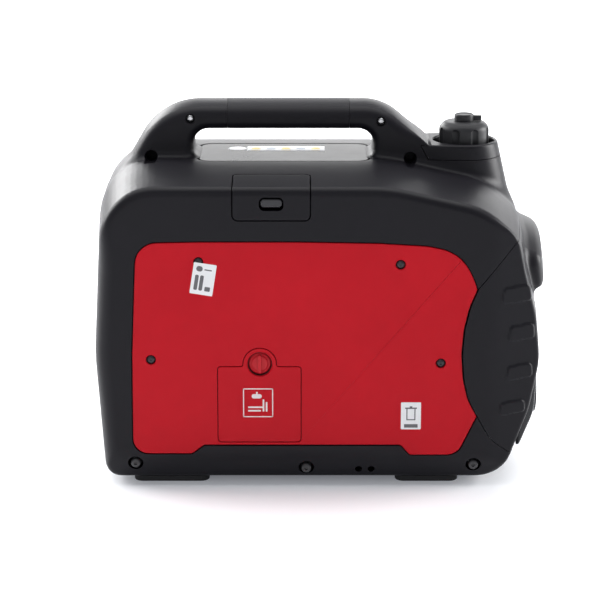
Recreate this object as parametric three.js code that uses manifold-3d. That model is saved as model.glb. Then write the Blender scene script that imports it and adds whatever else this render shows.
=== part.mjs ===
// A portable inverter generator: a suitcase-shaped casing in two side shells around an engine
// that carries its alternator on the crankshaft, an inverter, a fuel tank and a control panel.
// Millimetres, +Z up. +X is the control-panel end, -X the exhaust end, -Y the service side and
// +Y the starter side. The origin is on the floor, under the middle of the casing.
import * as THREE from 'three';
import { mergeVertices } from 'three/addons/utils/BufferGeometryUtils.js';
import Module from 'manifold-3d';

const wasm = await Module();
wasm.setup();

// ---------------------------------------------------------------- driving dimensions

const length = 504; // exhaust boss to the hood over the control panel
const width = 290; // side face to side face
const height = 410; // floor to the top of the handle
const wall = 3; // moulded casing wall
const seam = 0.6; // gap between two mouldings that meet
const endMargin = 3; // casing's ends to the side view's end stations
const clearance = 0.5; // gap between two pieces that touch or seat
const footHeight = 7;
const handleRise = 61; // deck to the top of the handle
const barHeight = 29; // the handle's bar
const handleHalfWidth = 34;
const towerHalfWidth = 42; // collar and tower round the filler neck
const faceSetback = 13; // front station to the control panel
const capHeight = 26.5; // fuel cap without its vent lever
const panelThickness = 2.6; // side panels and service door
const crankHeight = 122; // crankshaft axis above the floor
const crankOffset = 12; // crankshaft axis towards the starter side
const crankThrow = 21; // half the piston's stroke
const bore = 50; // cylinder bore
const cylinderTilt = 24; // degrees from upright, towards the service side
const crankcaseLength = 88;
const rotorRadius = 60;
const rotorLength = 56;
const pulleyRadius = 40; // recoil pulley, at the rope
const ropeRadius = 2.2;
const capRadius = 28; // fuel cap
const neckRadius = 20; // tank filler neck
const socketRadius = 24;
const lidThickness = 3;
const knobRadius = 12.5; // service door fastener
const dialRadius = 21; // engine switch
const screwRadius = 4.6; // panel screw heads
const arcSteps = 3;
const roundSteps = 16;

// ---------------------------------------------------------------- places worked out from them

// Stations that the side view is drawn from, a little outside the casing's ends.
const rear = -length / 2 - endMargin;
const front = length / 2 + endMargin;
const side = width / 2;
const base = footHeight;
const deck = height - handleRise;
const facia = front - faceSetback; // foremost point of the control panel
const crankcase = { x: [rear + 145, rear + 145 + crankcaseLength] };
const cylinderX = crankcase.x[1] - 31;
const rotor = { x: [crankcase.x[1] + 6, crankcase.x[1] + 6 + rotorLength] };
const pulleyX = rotor.x[1] + 20;
const housingEnd = pulleyX + 14;
const neckX = front - 92.3; // filler neck and fuel cap
const legs = { rear: rear + 114, front: front - 195 }; // inner faces of the handle's legs
const panelTop = deck - 71;
const panelBase = base + 32;
const panelFace = side - 1.5; // outer face of the side panels
const panelBack = panelFace - panelThickness;
const collarBase = deck - 1;
const collarTop = deck + 15;
const capSeat = collarTop - 3;

// ---------------------------------------------------------------- solids from three.js geometry

// Drawings are made in (u, v) and grow along w. On axis X these are (y, z, x), on Y (x, z, y)
// and on Z (x, y, z).
const [ex, ey, ez] = [[1, 0, 0], [0, 1, 0], [0, 0, 1]].map((e) => new THREE.Vector3(...e));
const frames = {
  X: new THREE.Matrix4().makeBasis(ey, ez, ex),
  Y: new THREE.Matrix4().makeBasis(ex, ez, ey),
  Z: new THREE.Matrix4(),
};

function solidOf(geometry, axis = 'Z') {
  const bare = geometry.index ? geometry.toNonIndexed() : geometry.clone();
  bare.deleteAttribute('normal');
  bare.deleteAttribute('uv');
  bare.applyMatrix4(frames[axis]);
  const merged = mergeVertices(bare, 1e-3);
  const corners = merged.index.array;
  const mirrored = frames[axis].determinant() < 0;
  const triangles = [];
  for (let i = 0; i < corners.length; i += 3) {
    const [a, b, c] = corners.slice(i, i + 3);
    if (a !== b && b !== c && c !== a) triangles.push(a, ...(mirrored ? [c, b] : [b, c]));
  }
  return new wasm.Manifold(
    new wasm.Mesh({
      numProp: 3,
      vertProperties: merged.attributes.position.array,
      triVerts: new Uint32Array(triangles),
    }),
  );
}

const shapeOf = (points) => new THREE.Shape(points.map(([u, v]) => new THREE.Vector2(u, v)));

function prism(axis, points, [from, to]) {
  const made = new THREE.ExtrudeGeometry(shapeOf(points), { depth: to - from, bevelEnabled: false });
  return solidOf(made.translate(0, 0, from), axis);
}

// As prism, with its edges at both ends rounded off by a bevel.
function softPrism(axis, points, [from, to], bevel, steps = 1) {
  const made = new THREE.ExtrudeGeometry(shapeOf(points), {
    depth: to - from - 2 * bevel,
    bevelThickness: bevel,
    bevelSize: bevel,
    bevelOffset: -bevel,
    bevelSegments: steps,
  });
  return solidOf(made.translate(0, 0, from + bevel), axis);
}

function rod(axis, radius, [from, to], [u, v], steps = roundSteps) {
  const made = new THREE.CylinderGeometry(radius, radius, to - from, steps).rotateX(Math.PI / 2);
  return solidOf(made.translate(u, v, (from + to) / 2), axis);
}

const tube = (axis, outer, inner, [from, to], centre, steps = roundSteps) =>
  rod(axis, outer, [from, to], centre, steps).subtract(
    rod(axis, inner, [from - 1, to + 1], centre, steps),
  );

// Turns a profile of [radius, w], w rising, about the axis; it starts and ends on the axis.
function turned(axis, profile, [u, v], steps = roundSteps) {
  const points = profile.map(([r, w]) => new THREE.Vector2(r, w));
  const made = new THREE.LatheGeometry(points, steps).rotateX(Math.PI / 2);
  return solidOf(made.translate(u, v, 0), axis);
}

function box([x0, x1], [y0, y1], [z0, z1]) {
  const made = new THREE.BoxGeometry(x1 - x0, y1 - y0, z1 - z0);
  return solidOf(made.translate((x0 + x1) / 2, (y0 + y1) / 2, (z0 + z1) / 2));
}

// A closed skin over rings with the same number of points, capped at both ends.
function loft(rings) {
  const n = rings[0].length;
  const index = [];
  rings.slice(1).forEach((_, k) => {
    for (let i = 0; i < n; i++) {
      const [a, b] = [k * n + i, k * n + ((i + 1) % n)];
      index.push(a, b, b + n, a, b + n, a + n);
    }
  });
  const last = (rings.length - 1) * n;
  for (let i = 1; i < n - 1; i++) index.push(0, i + 1, i, last, last + i, last + i + 1);
  const made = new THREE.BufferGeometry();
  made.setAttribute('position', new THREE.Float32BufferAttribute(rings.flat(2), 3));
  made.setIndex(index);
  return solidOf(made);
}

const join = (...solids) => solids.reduce((whole, next) => whole.add(next));
const cut = (solid, ...tools) => tools.reduce((left, tool) => left.subtract(tool), solid);
const count = (n) => Array.from({ length: n }, (_, i) => i);
const largest = (solid) =>
  solid.decompose().reduce((a, b) => (a.volume() > b.volume() ? a : b));

// ---------------------------------------------------------------- outlines

// The inward normals of the two edges that meet at corner i of an anticlockwise outline.
function normalsAt(corners, i) {
  const at = (k) => corners[(k + corners.length) % corners.length];
  return [[at(i - 1), at(i)], [at(i), at(i + 1)]].map(([[x0, y0], [x1, y1]]) =>
    new THREE.Vector2(y0 - y1, x1 - x0).normalize(),
  );
}

// The outline of [x, y, radius] corners, moved inwards.
function inset(corners, distance) {
  return corners.map(([x, y, r], i) => {
    const [before, after] = normalsAt(corners, i);
    const shift = distance / (1 + before.dot(after));
    const turn = before.cross(after) >= 0 ? 1 : -1;
    return [
      x + (before.x + after.x) * shift,
      y + (before.y + after.y) * shift,
      Math.max(r - turn * distance, 0.4),
    ];
  });
}

// Points along the outline of [x, y, radius] corners, each corner rounded by an arc. A tight or
// a very wide arc needs only a few steps.
function rounded(corners, most = arcSteps) {
  return corners.flatMap(([x, y, r], i) => {
    const steps = r < 7 || r > 100 ? Math.min(most, 2) : most;
    const [before, after] = normalsAt(corners, i);
    const turn = before.cross(after) >= 0 ? 1 : -1;
    const reach = (r * turn) / (1 + before.dot(after));
    const centre = new THREE.Vector2(x, y);
    centre.addScaledVector(before, reach).addScaledVector(after, reach);
    const start = Math.atan2(-turn * before.y, -turn * before.x);
    const sweep = turn * Math.acos(THREE.MathUtils.clamp(before.dot(after), -1, 1));
    return count(steps + 1).map((k) => {
      const angle = start + (sweep * k) / steps;
      return [centre.x + r * Math.cos(angle), centre.y + r * Math.sin(angle)];
    });
  });
}

const rectangle = ([x0, x1], [y0, y1], r, most = arcSteps) =>
  rounded([[x0, y0, r], [x1, y0, r], [x1, y1, r], [x0, y1, r]], most);

const grow = ([from, to], by) => [from - by, to + by];

// ---------------------------------------------------------------- the casing's form

// Side view of the body, anticlockwise from the rear foot. The top drops away towards the
// sides, and the front tucks in.
const bodyCorners = (drop, tuck) => [
  [rear + 13, base, 18],
  [front - 44 - tuck, base, 45],
  [front - 14 - tuck, base + 78, 90],
  [front - 8 - tuck, base + 136, 120],
  [front - 13 - tuck, base + 190, 120],
  [front - 25.5 - tuck, deck - 99, 60],
  [front - 34 - tuck, deck - 56 - drop, 45],
  [front - 71 - tuck, deck - 23.5 - drop, 90],
  [front - 180, deck - drop, 200],
  [rear + 13, deck - drop, 62],
  [rear + 3, base + 140, 300],
];

// From a side face inwards: share of the half width, inset, drop and tuck.
const sections = [
  [1, 6, 13, 7],
  [0.985, 2.6, 11.5, 6],
  [0.95, 1, 10, 5],
  [0.7, 0, 4.5, 1.5],
  [0.38, 0, 0, 0],
];

// The body as a solid, or the room inside its walls when given their thickness.
function bodySolid(thickness) {
  const ring = ([share, shrink, drop, tuck], sign) =>
    rounded(inset(bodyCorners(drop, tuck), shrink + thickness)).map(([x, z]) => [
      x,
      sign * (share * side - thickness),
      z,
    ]);
  return loft([
    ...sections.map((s) => ring(s, -1)),
    ...sections.toReversed().map((s) => ring(s, 1)),
  ].toReversed());
}

const bodyOuter = bodySolid(0);
const bodyInner = bodySolid(wall);
const bodyWall = bodyOuter.subtract(bodyInner);

// Side view of what the end cover takes up; its rear edge is an arc.
const arc = { centre: [front + 78, base + 145.5], radius: 178 };
const endCorners = [
  [front + 60, deck - 52, 1],
  [front - 30, deck - 66, 6],
  [front - 45, deck - 76, 12],
  ...[156.5, 167, 180, 193, 204.5].map((degrees) => {
    const angle = THREE.MathUtils.degToRad(degrees);
    const [x, z] = arc.centre;
    return [x + arc.radius * Math.cos(angle), z + arc.radius * Math.sin(angle), 60];
  }),
  [front - 48, base + 33, 6],
  [front + 20, base - 20, 1],
  [front + 60, base - 20, 1],
];
const endRegion = (margin) => prism('Y', rounded(inset(endCorners, -margin), 2), [-side - 5, side + 5]);

const handleCorners = [
  [rear + 12, deck - 85, 9],
  [front - 110, deck - 60, 9],
  [front - 110, deck - 4, 12],
  [front - 184, height, 60],
  [rear + 78, height, 75],
  [rear + 20, deck - 38, 60],
];
const windowCorners = [
  [legs.rear, deck - 20, 2],
  [legs.front, deck - 20, 2],
  [legs.front, height - barHeight, 18],
  [legs.rear, height - barHeight, 18],
];
const handleSolid = softPrism('Y', rounded(handleCorners), [-handleHalfWidth, handleHalfWidth], 6)
  .subtract(prism('Y', rounded(windowCorners), [-side, side]))
  .subtract(bodyInner);

// Grip sleeve of the bar and the core that runs through it.
const sleeve = { x: [rear + 152, front - 222] };
const core = { y: 18, z: [height - barHeight + 8, height - 8] };
const sleeveRoom = (margin) =>
  box(grow(sleeve.x, margin), [-handleHalfWidth - 5, handleHalfWidth + 5], [deck + 12, height + 5]);
const coreSolid = (margin) =>
  box(grow(sleeve.x, 5), [-core.y - margin, core.y + margin], grow(core.z, margin));

// The tower under the filler neck, and the collar that stands on it.
const towerPlan = (margin) => [
  [neckX - 49.7, -towerHalfWidth - margin, 4],
  [neckX + 38 + margin, -towerHalfWidth - margin, 36 + margin],
  [neckX + 38 + margin, towerHalfWidth + margin, 36 + margin],
  [neckX - 49.7, towerHalfWidth + margin, 4],
];
const towerBlock = (margin, top) =>
  loft([
    rounded(towerPlan(margin + 14)).map(([x, y]) => [x, y, deck - 62]),
    rounded(towerPlan(margin)).map(([x, y]) => [x, y, top]),
  ]);

const panelCorners = [
  [rear + 49, panelBase, 14],
  [rear + 115, panelBase, 4],
  [rear + 127, panelBase + 9.5, 4],
  [front - 165, panelBase + 9.5, 4],
  [front - 155, panelBase - 2, 4],
  [front - 60, panelBase - 2, 4],
  [front - 60, panelTop, 4],
  [rear + 52, panelTop, 26],
];
const panelOutline = (margin) => rounded(inset(panelCorners, -margin));

const plugDoor = {
  x: [cylinderX - 42, cylinderX + 42],
  z: [deck - 47, deck + 20],
  y: [-side - 5, -side + 45],
};
const plugDoorRoom = (margin) =>
  prism(
    'Y',
    rectangle(grow(plugDoor.x, margin), [plugDoor.z[0] - margin, plugDoor.z[1]], 5),
    [plugDoor.y[0], plugDoor.y[1] + margin],
  );

const deckPlan = (margin) =>
  rectangle(grow([legs.rear + 5, legs.front - 4], margin), grow([-52, 52], margin), 32 + margin);

const grille = { y: [-98, 98], z: [base + 60, deck - 78] };
const grilleRoom = (margin) =>
  prism('X', rectangle(grow(grille.y, margin), grow(grille.z, margin), 12 + margin), [
    rear - 10,
    rear + 60,
  ]);

const face = { y: [-98, 98], z: [base + 26, deck - 134] };
const faceRoom = (margin) =>
  prism('X', rectangle(grow(face.y, margin), grow(face.z, margin), 12 + margin), [
    front - 70,
    front + 20,
  ]);

const tray = { x: [rear + 60, front - 85], y: [-side + 42, side - 42] };

// ---------------------------------------------------------------- materials and naming

const finish = (color, roughness, metalness = 0) =>
  new THREE.MeshStandardMaterial({ color, roughness, metalness });
const black = finish(0x26262a, 0.55);
const red = finish(0xb81826, 0.45);
const gloss = finish(0x151518, 0.25);
const rubber = finish(0x101010, 0.9);
const steel = finish(0xb8b8bc, 0.35, 0.9);
const castMetal = finish(0xa2a4a6, 0.55, 0.8);
const copper = finish(0xb06a3a, 0.4, 0.9);
const ceramic = finish(0xf2f0ea, 0.3);
const lens = finish(0x35c24a, 0.2);
const cord = finish(0x202020, 0.95);

const generator = new THREE.Group();

function piece(name, solid, material) {
  const made = solid.getMesh();
  const geometry = new THREE.BufferGeometry();
  geometry.setAttribute('position', new THREE.BufferAttribute(made.vertProperties, 3));
  geometry.setIndex(new THREE.BufferAttribute(made.triVerts, 1));
  geometry.computeVertexNormals();
  const mesh = new THREE.Mesh(geometry, material);
  mesh.name = name;
  generator.add(mesh);
}

// ---------------------------------------------------------------- screws and their places

const handleScrews = [[rear + 111, height - 17], [front - 187, height - 20]];
const legHoles = [[rear + 67, deck + 2], [front - 154, deck]];
const bottomHoles = [[rear + 51, base + 19], [-15, base + 13], [front - 85, base + 17]];
const panelScrews = [
  { at: [rear + 123, panelTop - 22], tab: [[-8, 8], [-8, 24]] },
  { at: [front - 168, panelTop - 25], tab: [[-8, 8], [-8, 27]] },
  { at: [rear + 70, panelBase + 107], tab: [[-24, 8], [-8, 8]] },
  { at: [front - 123, panelBase + 103], tab: [[-8, 28], [-8, 8]] },
];

// A round-headed screw drawn pointing along +Y, its head's crown at the given y.
function screw(at, crown, head, shank, reach) {
  return turned(
    'Y',
    [[0, -reach], [shank, -reach], [shank, -2], [head, -2], [head, -0.9], [head - 1.5, 0], [0, 0]],
    at,
    10,
  ).mirror([0, 1, 0]).translate([0, crown, 0]);
}

function screws() {
  panelScrews.forEach(({ at }, i) =>
    piece(`panel_screw_${i + 1}`, screw(at, -panelFace + 0.6, screwRadius, 2, 9.5), black),
  );
  handleScrews.forEach((at, i) =>
    piece(`handle_screw_${i + 1}`, screw(at, -handleHalfWidth + 4, 4, 2, 40), steel),
  );
}

// ---------------------------------------------------------------- shells, panels and trim

// One half of the casing, on the -Y side, with what both halves have in common.
function halfShell() {
  const rim = prism('Y', panelOutline(5), [-side, -side + 12])
    .subtract(prism('Y', panelOutline(-7), [-side - 1, -side + 13]))
    .intersect(bodyOuter);
  const inEnd = prism('Y', rounded(inset(endCorners, -12), 2), [-side, -side + 12]);
  const arcRim = inEnd
    .intersect(prism('Y', panelOutline(0), [-side, -side + 12]))
    .intersect(bodyOuter);
  const tabs = panelScrews.map(({ at: [x, z], tab: [tx, tz] }) =>
    box([x + tx[0], x + tx[1]], [-panelBack + clearance, -side + 12], [z + tz[0], z + tz[1]]),
  );
  const tower = towerBlock(0, collarBase - seam).subtract(towerBlock(-wall, collarBase - wall));
  const handle = join(cut(handleSolid, sleeveRoom(seam)), coreSolid(0));
  const outside = box([rear - 9, front + 9], [-side, 0], [deck - 90, height]).subtract(bodyInner);
  return cut(
    join(bodyWall, rim, arcRim, ...tabs, handle, tower.intersect(outside)),
    box([rear - 20, front + 20], [-0.3, side + 20], [-10, height + 20]),
    prism('Y', panelOutline(seam), [-side - 5, -panelBack + clearance]),
    endRegion(seam),
    prism('Z', deckPlan(seam), [deck - 12, deck + 5]),
    grilleRoom(seam),
    box(tray.x, tray.y, [base - 1, base + wall + 1]),
    rod('Z', neckRadius + 3, [deck - 70, height], [neckX, 0]),
    box([neckX - 50.7, neckX + 44], [-towerHalfWidth - 6, 6], [collarBase - seam, height + 5]),
    ...legHoles.map((at) => rod('Y', 5.6, [-handleHalfWidth - 2, -handleHalfWidth + 16], at, 16)),
    ...handleScrews.map((at) => rod('Y', 4.6, [-handleHalfWidth - 2, -handleHalfWidth + 7], at, 14)),
    ...handleScrews.map((at) => rod('Y', 2.5, [-handleHalfWidth, 2], at, 12)),
    ...bottomHoles.map((at) => rod('Y', 6, [-side - 2, -side + 22], at, 14)),
    ...panelScrews.map(({ at }) => rod('Y', 2.5, [-side, -side + 20], at, 12)),
  );
}

function casing() {
  const shell = halfShell();
  piece('side_shell_left', largest(shell.subtract(plugDoorRoom(seam))), black);
  piece('side_shell_right', largest(shell.mirror([0, 1, 0])), black);
  piece('deck_plate', bodyWall.intersect(prism('Z', deckPlan(0), [deck - 12, deck + 5])), gloss);
  const grip = handleSolid.intersect(sleeveRoom(0)).subtract(coreSolid(clearance));
  piece('handle_grip', grip, rubber);
  trayPiece();
  const feet = [[rear + 90, 42], [front - 136, 35]];
  [-1, 1].forEach((sign) =>
    feet.forEach(([x, half], i) => {
      const y = sign * (side - 33);
      const plan = rectangle([x - half, x + half], [y - 14, y + 14], 10, 2);
      const name = `foot_${i ? 'front' : 'rear'}_${sign < 0 ? 'left' : 'right'}`;
      piece(name, softPrism('Z', plan, [0, base - 0.3], 1.5, 1), rubber);
    }),
  );
}

function trayPiece() {
  const plate = box(grow(tray.x, -seam), grow(tray.y, -seam), [base, base + wall]);
  const posts = [crankcase.x[0] + 16, crankcase.x[1] - 16].flatMap((x) =>
    [crankOffset - 44, crankOffset + 40].map((y) =>
      rod('Z', 9, [base + 1, base + 26 - clearance], [x, y], 14),
    ),
  );
  piece('base_tray', join(plate, ...posts), black);
}

function rearEnd() {
  const slats = count(5).map((i) => {
    const z = grille.z[0] + 24 + i * ((grille.z[1] - grille.z[0] - 48) / 4);
    return box([rear - 10, rear + 60], grow(grille.y, -18), [z - 10, z + 10]);
  });
  const at = [exhaust.y, exhaust.z];
  const plate = bodyWall.intersect(grilleRoom(0));
  const boss = rod('X', 25, [rear + endMargin, rear + 14], at);
  piece('rear_grille', largest(cut(join(cut(plate, ...slats), boss), rod('X', 18, [rear - 5, rear + 40], at))), black);
}

// ---------------------------------------------------------------- end cover and control panel

// Side view of the control panel's outer face, from its foot up.
const faceProfile = [
  [facia - 19, face.z[0] - 1],
  [facia - 11, face.z[0] + 12],
  [facia - 2, face.z[0] + 42],
  [facia, face.z[0] + 84],
  [facia - 3, face.z[0] + 122],
  [facia - 8, face.z[0] + 160],
  [facia - 11, face.z[1] + 1],
];
const faceBlock = (depth) =>
  prism('Y', [
    ...faceProfile.map(([x, z]) => [x - depth, z]),
    [front - 65, face.z[1] + 1],
    [front - 65, face.z[0] - 1],
  ], face.y);

function endCover() {
  const lidLine = face.z[1] + 4;
  const hood = rounded([
    [front - 60, lidLine - 3, 6],
    [front - 13, lidLine - 3, 6],
    [front - 2.5, lidLine + 21, 12],
    [front - 8.5, lidLine + 49.5, 14],
    [front - 29, lidLine + 58.5, 8],
    [front - 60, lidLine + 58.5, 6],
  ], 3);
  const visor = softPrism('Y', hood, grow(face.y, -2), 4).subtract(bodyInner);
  const slots = [-1, 1].map((sign) =>
    box([front - 40, front + 5], [sign * 116 - 3, sign * 116 + 3], [face.z[1] + 26, face.z[1] + 42]),
  );
  const skin = bodyWall.intersect(endRegion(0));
  const shaped = join(skin, visor.intersect(endRegion(0)));
  piece('end_cover', largest(cut(shaped, faceRoom(seam), ...slots)), black);
}

const lidSpan = [facia + clearance, facia + clearance + lidThickness];
const panelX = facia - 1; // front of what is let into the control panel
const upper = face.z[1] - 34;
const sockets = [-46, 46].map((y) => ({ y, z: face.z[0] + 52 }));
const dcSocket = [62, upper];
const breaker = [30, upper];
const rocker = [-62, upper];
const lamps = [-16, upper];
const earth = [0, face.z[0] + 16];

function controlPanel() {
  const through = [front - 60, front + 5];
  piece(
    'control_panel',
    cut(
      faceBlock(0).intersect(faceRoom(0)),
      faceBlock(wall),
      ...sockets.map(({ y, z }) => rod('X', socketRadius + clearance, through, [y, z])),
      rod('X', 13 + clearance, through, dcSocket, 18),
      rod('X', 6.5 + clearance, through, breaker, 14),
      rod('X', 3 + clearance, through, earth, 12),
      box(through, grow([rocker[0], rocker[0]], 10), grow([upper, upper], 15)),
      box(through, grow([lamps[0], lamps[0]], 22 + clearance), grow([upper, upper], 8 + clearance)),
    ),
    gloss,
  );
  sockets.forEach(({ y, z }, i) => {
    const body = rod('X', socketRadius, [panelX - 34, panelX], [y, z]);
    const well = rod('X', socketRadius - 4, [panelX - 16, panelX + 1], [y, z]);
    const pins = [-9.5, 9.5].map((d) => rod('X', 2.4, [panelX - 28, panelX], [y + d, z], 8));
    piece(`ac_socket_${i + 1}`, cut(body, well, ...pins), gloss);
    const plate = rod('X', socketRadius + 3, lidSpan, [y, z]);
    const ear = box(lidSpan, [y - 9, y + 9], [z + socketRadius - 2, z + socketRadius + 6]);
    piece(`socket_lid_${i + 1}`, plate.add(ear), gloss);
  });
  const dcFloor = rod('X', 12, [panelX - 28, panelX - 20], dcSocket, 18);
  piece('dc_socket', tube('X', 13, 9, [panelX - 26, panelX], dcSocket, 18).add(dcFloor), gloss);
  const strip = box([panelX - 14, panelX - 2], grow([lamps[0], lamps[0]], 22), grow([upper, upper], 8));
  const lenses = [-14, 0, 14].map((d) => rod('X', 3.6, [panelX - 4, panelX - 0.6], [lamps[0] + d, upper], 12));
  piece('indicator_lamps', join(strip, ...lenses), lens);
  const nut = rod('X', 6.4, [panelX - 1.5, panelX + 1], earth, 6);
  piece('earth_terminal', rod('X', 3, [panelX - 26, panelX + 2.5], earth, 12).add(nut), steel);
  piece('breaker_button', rod('X', 6.5, [panelX - 18, panelX + 2.6], breaker, 14), red);
  const rockerSide = rounded([
    [panelX - 12, upper - 12, 1],
    [panelX + 1, upper - 12, 1],
    [panelX - 2, upper, 30],
    [panelX + 1, upper + 12, 1],
    [panelX - 12, upper + 12, 1],
  ], 2);
  piece('economy_switch', prism('Y', rockerSide, grow([rocker[0], rocker[0]], 9)), gloss);
}

// ---------------------------------------------------------------- side panels, doors, starter

const door = { x: [cylinderX - 59, cylinderX + 32], z: [panelBase + 13, panelBase + 99] };
const doorKnob = [cylinderX - 13, door.z[1] + 3];
const doorSolid = (margin, span) =>
  join(
    prism('Y', rectangle(grow(door.x, margin), grow(door.z, margin), 4, 2), span),
    rod('Y', 18 + margin, span, doorKnob),
  );
const pocket = { x: [pulleyX - 50, pulleyX + 50], z: [crankHeight + pulleyRadius - 24, crankHeight + pulleyRadius + 24], depth: 24 };
const ropeAt = [pulleyX, crankHeight + pulleyRadius];
const dial = [crankcase.x[0] + 30, crankHeight - 18];

function sidePanels() {
  const plate = (span) =>
    cut(
      prism('Y', panelOutline(0), span),
      endRegion(seam),
      ...panelScrews.map(({ at }) => rod('Y', screwRadius + clearance, grow(span, 1), at, 14)),
    );
  const left = [-panelFace, -panelBack];
  piece('side_panel_left', plate(left).subtract(doorSolid(seam, grow(left, 1))), red);
  const right = [panelBack, panelFace];
  const floor = panelFace - pocket.depth;
  const dish = prism('Y', rectangle(pocket.x, pocket.z, 20), [floor, panelFace - 0.2]);
  const hollow = prism('Y', rectangle(grow(pocket.x, -2.4), grow(pocket.z, -2.4), 17.6), [floor + 2.4, side + 5]);
  const slots = count(5).map((i) => {
    const x = rear + 78 + i * 16;
    return box([x - 3, x + 3], grow(right, 1), [panelTop - 82, panelTop - 46]);
  });
  const ring = rod('Y', dialRadius + 4, [panelFace - 10, panelFace - 0.2], dial);
  piece(
    'side_panel_right',
    cut(
      join(plate(right), ring, dish),
      hollow,
      rod('Y', dialRadius + 1.5, [panelFace - 12, panelFace + 1], dial),
      rod('Y', ropeRadius + 3, [floor - 5, side], ropeAt, 14),
      ...slots,
    ),
    red,
  );
}

function doors() {
  const span = [-panelFace, -panelBack];
  piece('service_door', doorSolid(0, span).subtract(rod('Y', knobRadius + 1, grow(span, 1), doorKnob)), red);
  const disc = rod('Y', knobRadius, [-panelFace + 1.4, -panelBack + 6], doorKnob);
  const [kx, kz] = doorKnob;
  piece('service_door_knob', disc.add(box([kx - 1.6, kx + 1.6], [-side + 0.6, -panelFace + 3], [kz - 9, kz + 9])), red);
  const slotAt = [cylinderX, deck - 29];
  const slot = prism('Y', rectangle(grow([slotAt[0], slotAt[0]], 13), grow([slotAt[1], slotAt[1]], 7.5), 6), [
    -side - 5,
    -side + 20,
  ]);
  piece('plug_cover', largest(bodyWall.intersect(plugDoorRoom(0)).subtract(slot)), black);
  const latch = prism('Y', rectangle(grow([slotAt[0], slotAt[0]], 12), [slotAt[1] - 4, slotAt[1] + 6.5], 4), [
    -side + 2.4,
    -side + 8,
  ]);
  piece('plug_cover_latch', latch, black);
}

function starter() {
  const [px, pz] = ropeAt;
  const floor = panelFace - pocket.depth + 2.4;
  const grip = softPrism('Z', rounded([
    [px - 40, floor + 6, 6],
    [px - 12, floor + 1.5, 6],
    [px + 12, floor + 1.5, 6],
    [px + 40, floor + 6, 6],
    [px + 40, side - 0.6, 6],
    [px - 40, side - 0.6, 6],
  ], 3), [pz - 10, pz + 10], 4);
  piece('recoil_grip', grip, rubber);
  const wound = solidOf(new THREE.TorusGeometry(pulleyRadius, ropeRadius, 6, 24).translate(crankOffset, crankHeight, pulleyX), 'X');
  piece('starter_rope', wound.add(rod('Y', ropeRadius, [crankOffset, floor + 1], ropeAt, 8)), cord);
  const axle = [crankOffset, crankHeight];
  const flange = pulleyRadius + 5;
  const groove = pulleyRadius - ropeRadius - 0.4;
  const drum = turned('X', [
    [0, pulleyX - 8], [flange, pulleyX - 8], [flange, pulleyX - 5], [groove, pulleyX - 3.5],
    [groove, pulleyX + 3.5], [flange, pulleyX + 5], [flange, pulleyX + 7], [0, pulleyX + 7],
  ], axle, 24);
  const cup = rod('X', 26, [pulleyX - 10, pulleyX - 2], axle);
  piece('recoil_pulley', cut(drum, cup, rod('X', 8.4, [pulleyX - 20, pulleyX + 10], axle)), castMetal);
  const bell = tube('X', rotorRadius + 9, rotorRadius + 6, [rotor.x[0] - 2, housingEnd], axle, 24);
  const end = rod('X', rotorRadius + 8, [housingEnd - wall, housingEnd], axle, 24);
  const pin = rod('X', 8, [pulleyX - 2, housingEnd], axle);
  const inlets = count(6).map((i) => {
    const angle = ((i + 0.5) * Math.PI) / 3;
    return rod('X', 11, [housingEnd - 6, housingEnd + 2], [axle[0] + 38 * Math.cos(angle), axle[1] + 38 * Math.sin(angle)], 8);
  });
  piece('recoil_housing', cut(join(bell, end, pin), ...inlets, rod('Y', 5, [axle[0] + 20, side], ropeAt, 14)), black);
  const shaftEnd = panelFace - 24;
  const knob = turned('Y', [
    [0, shaftEnd], [5, shaftEnd], [5, panelFace - 9], [dialRadius, panelFace - 9],
    [dialRadius, panelFace - 3], [dialRadius - 2, panelFace - 1.5], [0, panelFace - 1.5],
  ], dial);
  const bar = box([dial[0] - 3.5, dial[0] + 3.5], [panelFace - 4, side - 0.3], grow([dial[1], dial[1]], 16));
  piece('engine_switch', knob.add(bar), gloss);
}

// ---------------------------------------------------------------- filler collar, cap and tank

const tank = { x: [cylinderX + 46, neckX + 28], y: [-side + 42, side - 42], z: [crankHeight + rotorRadius + 34, deck - 52] };

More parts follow.
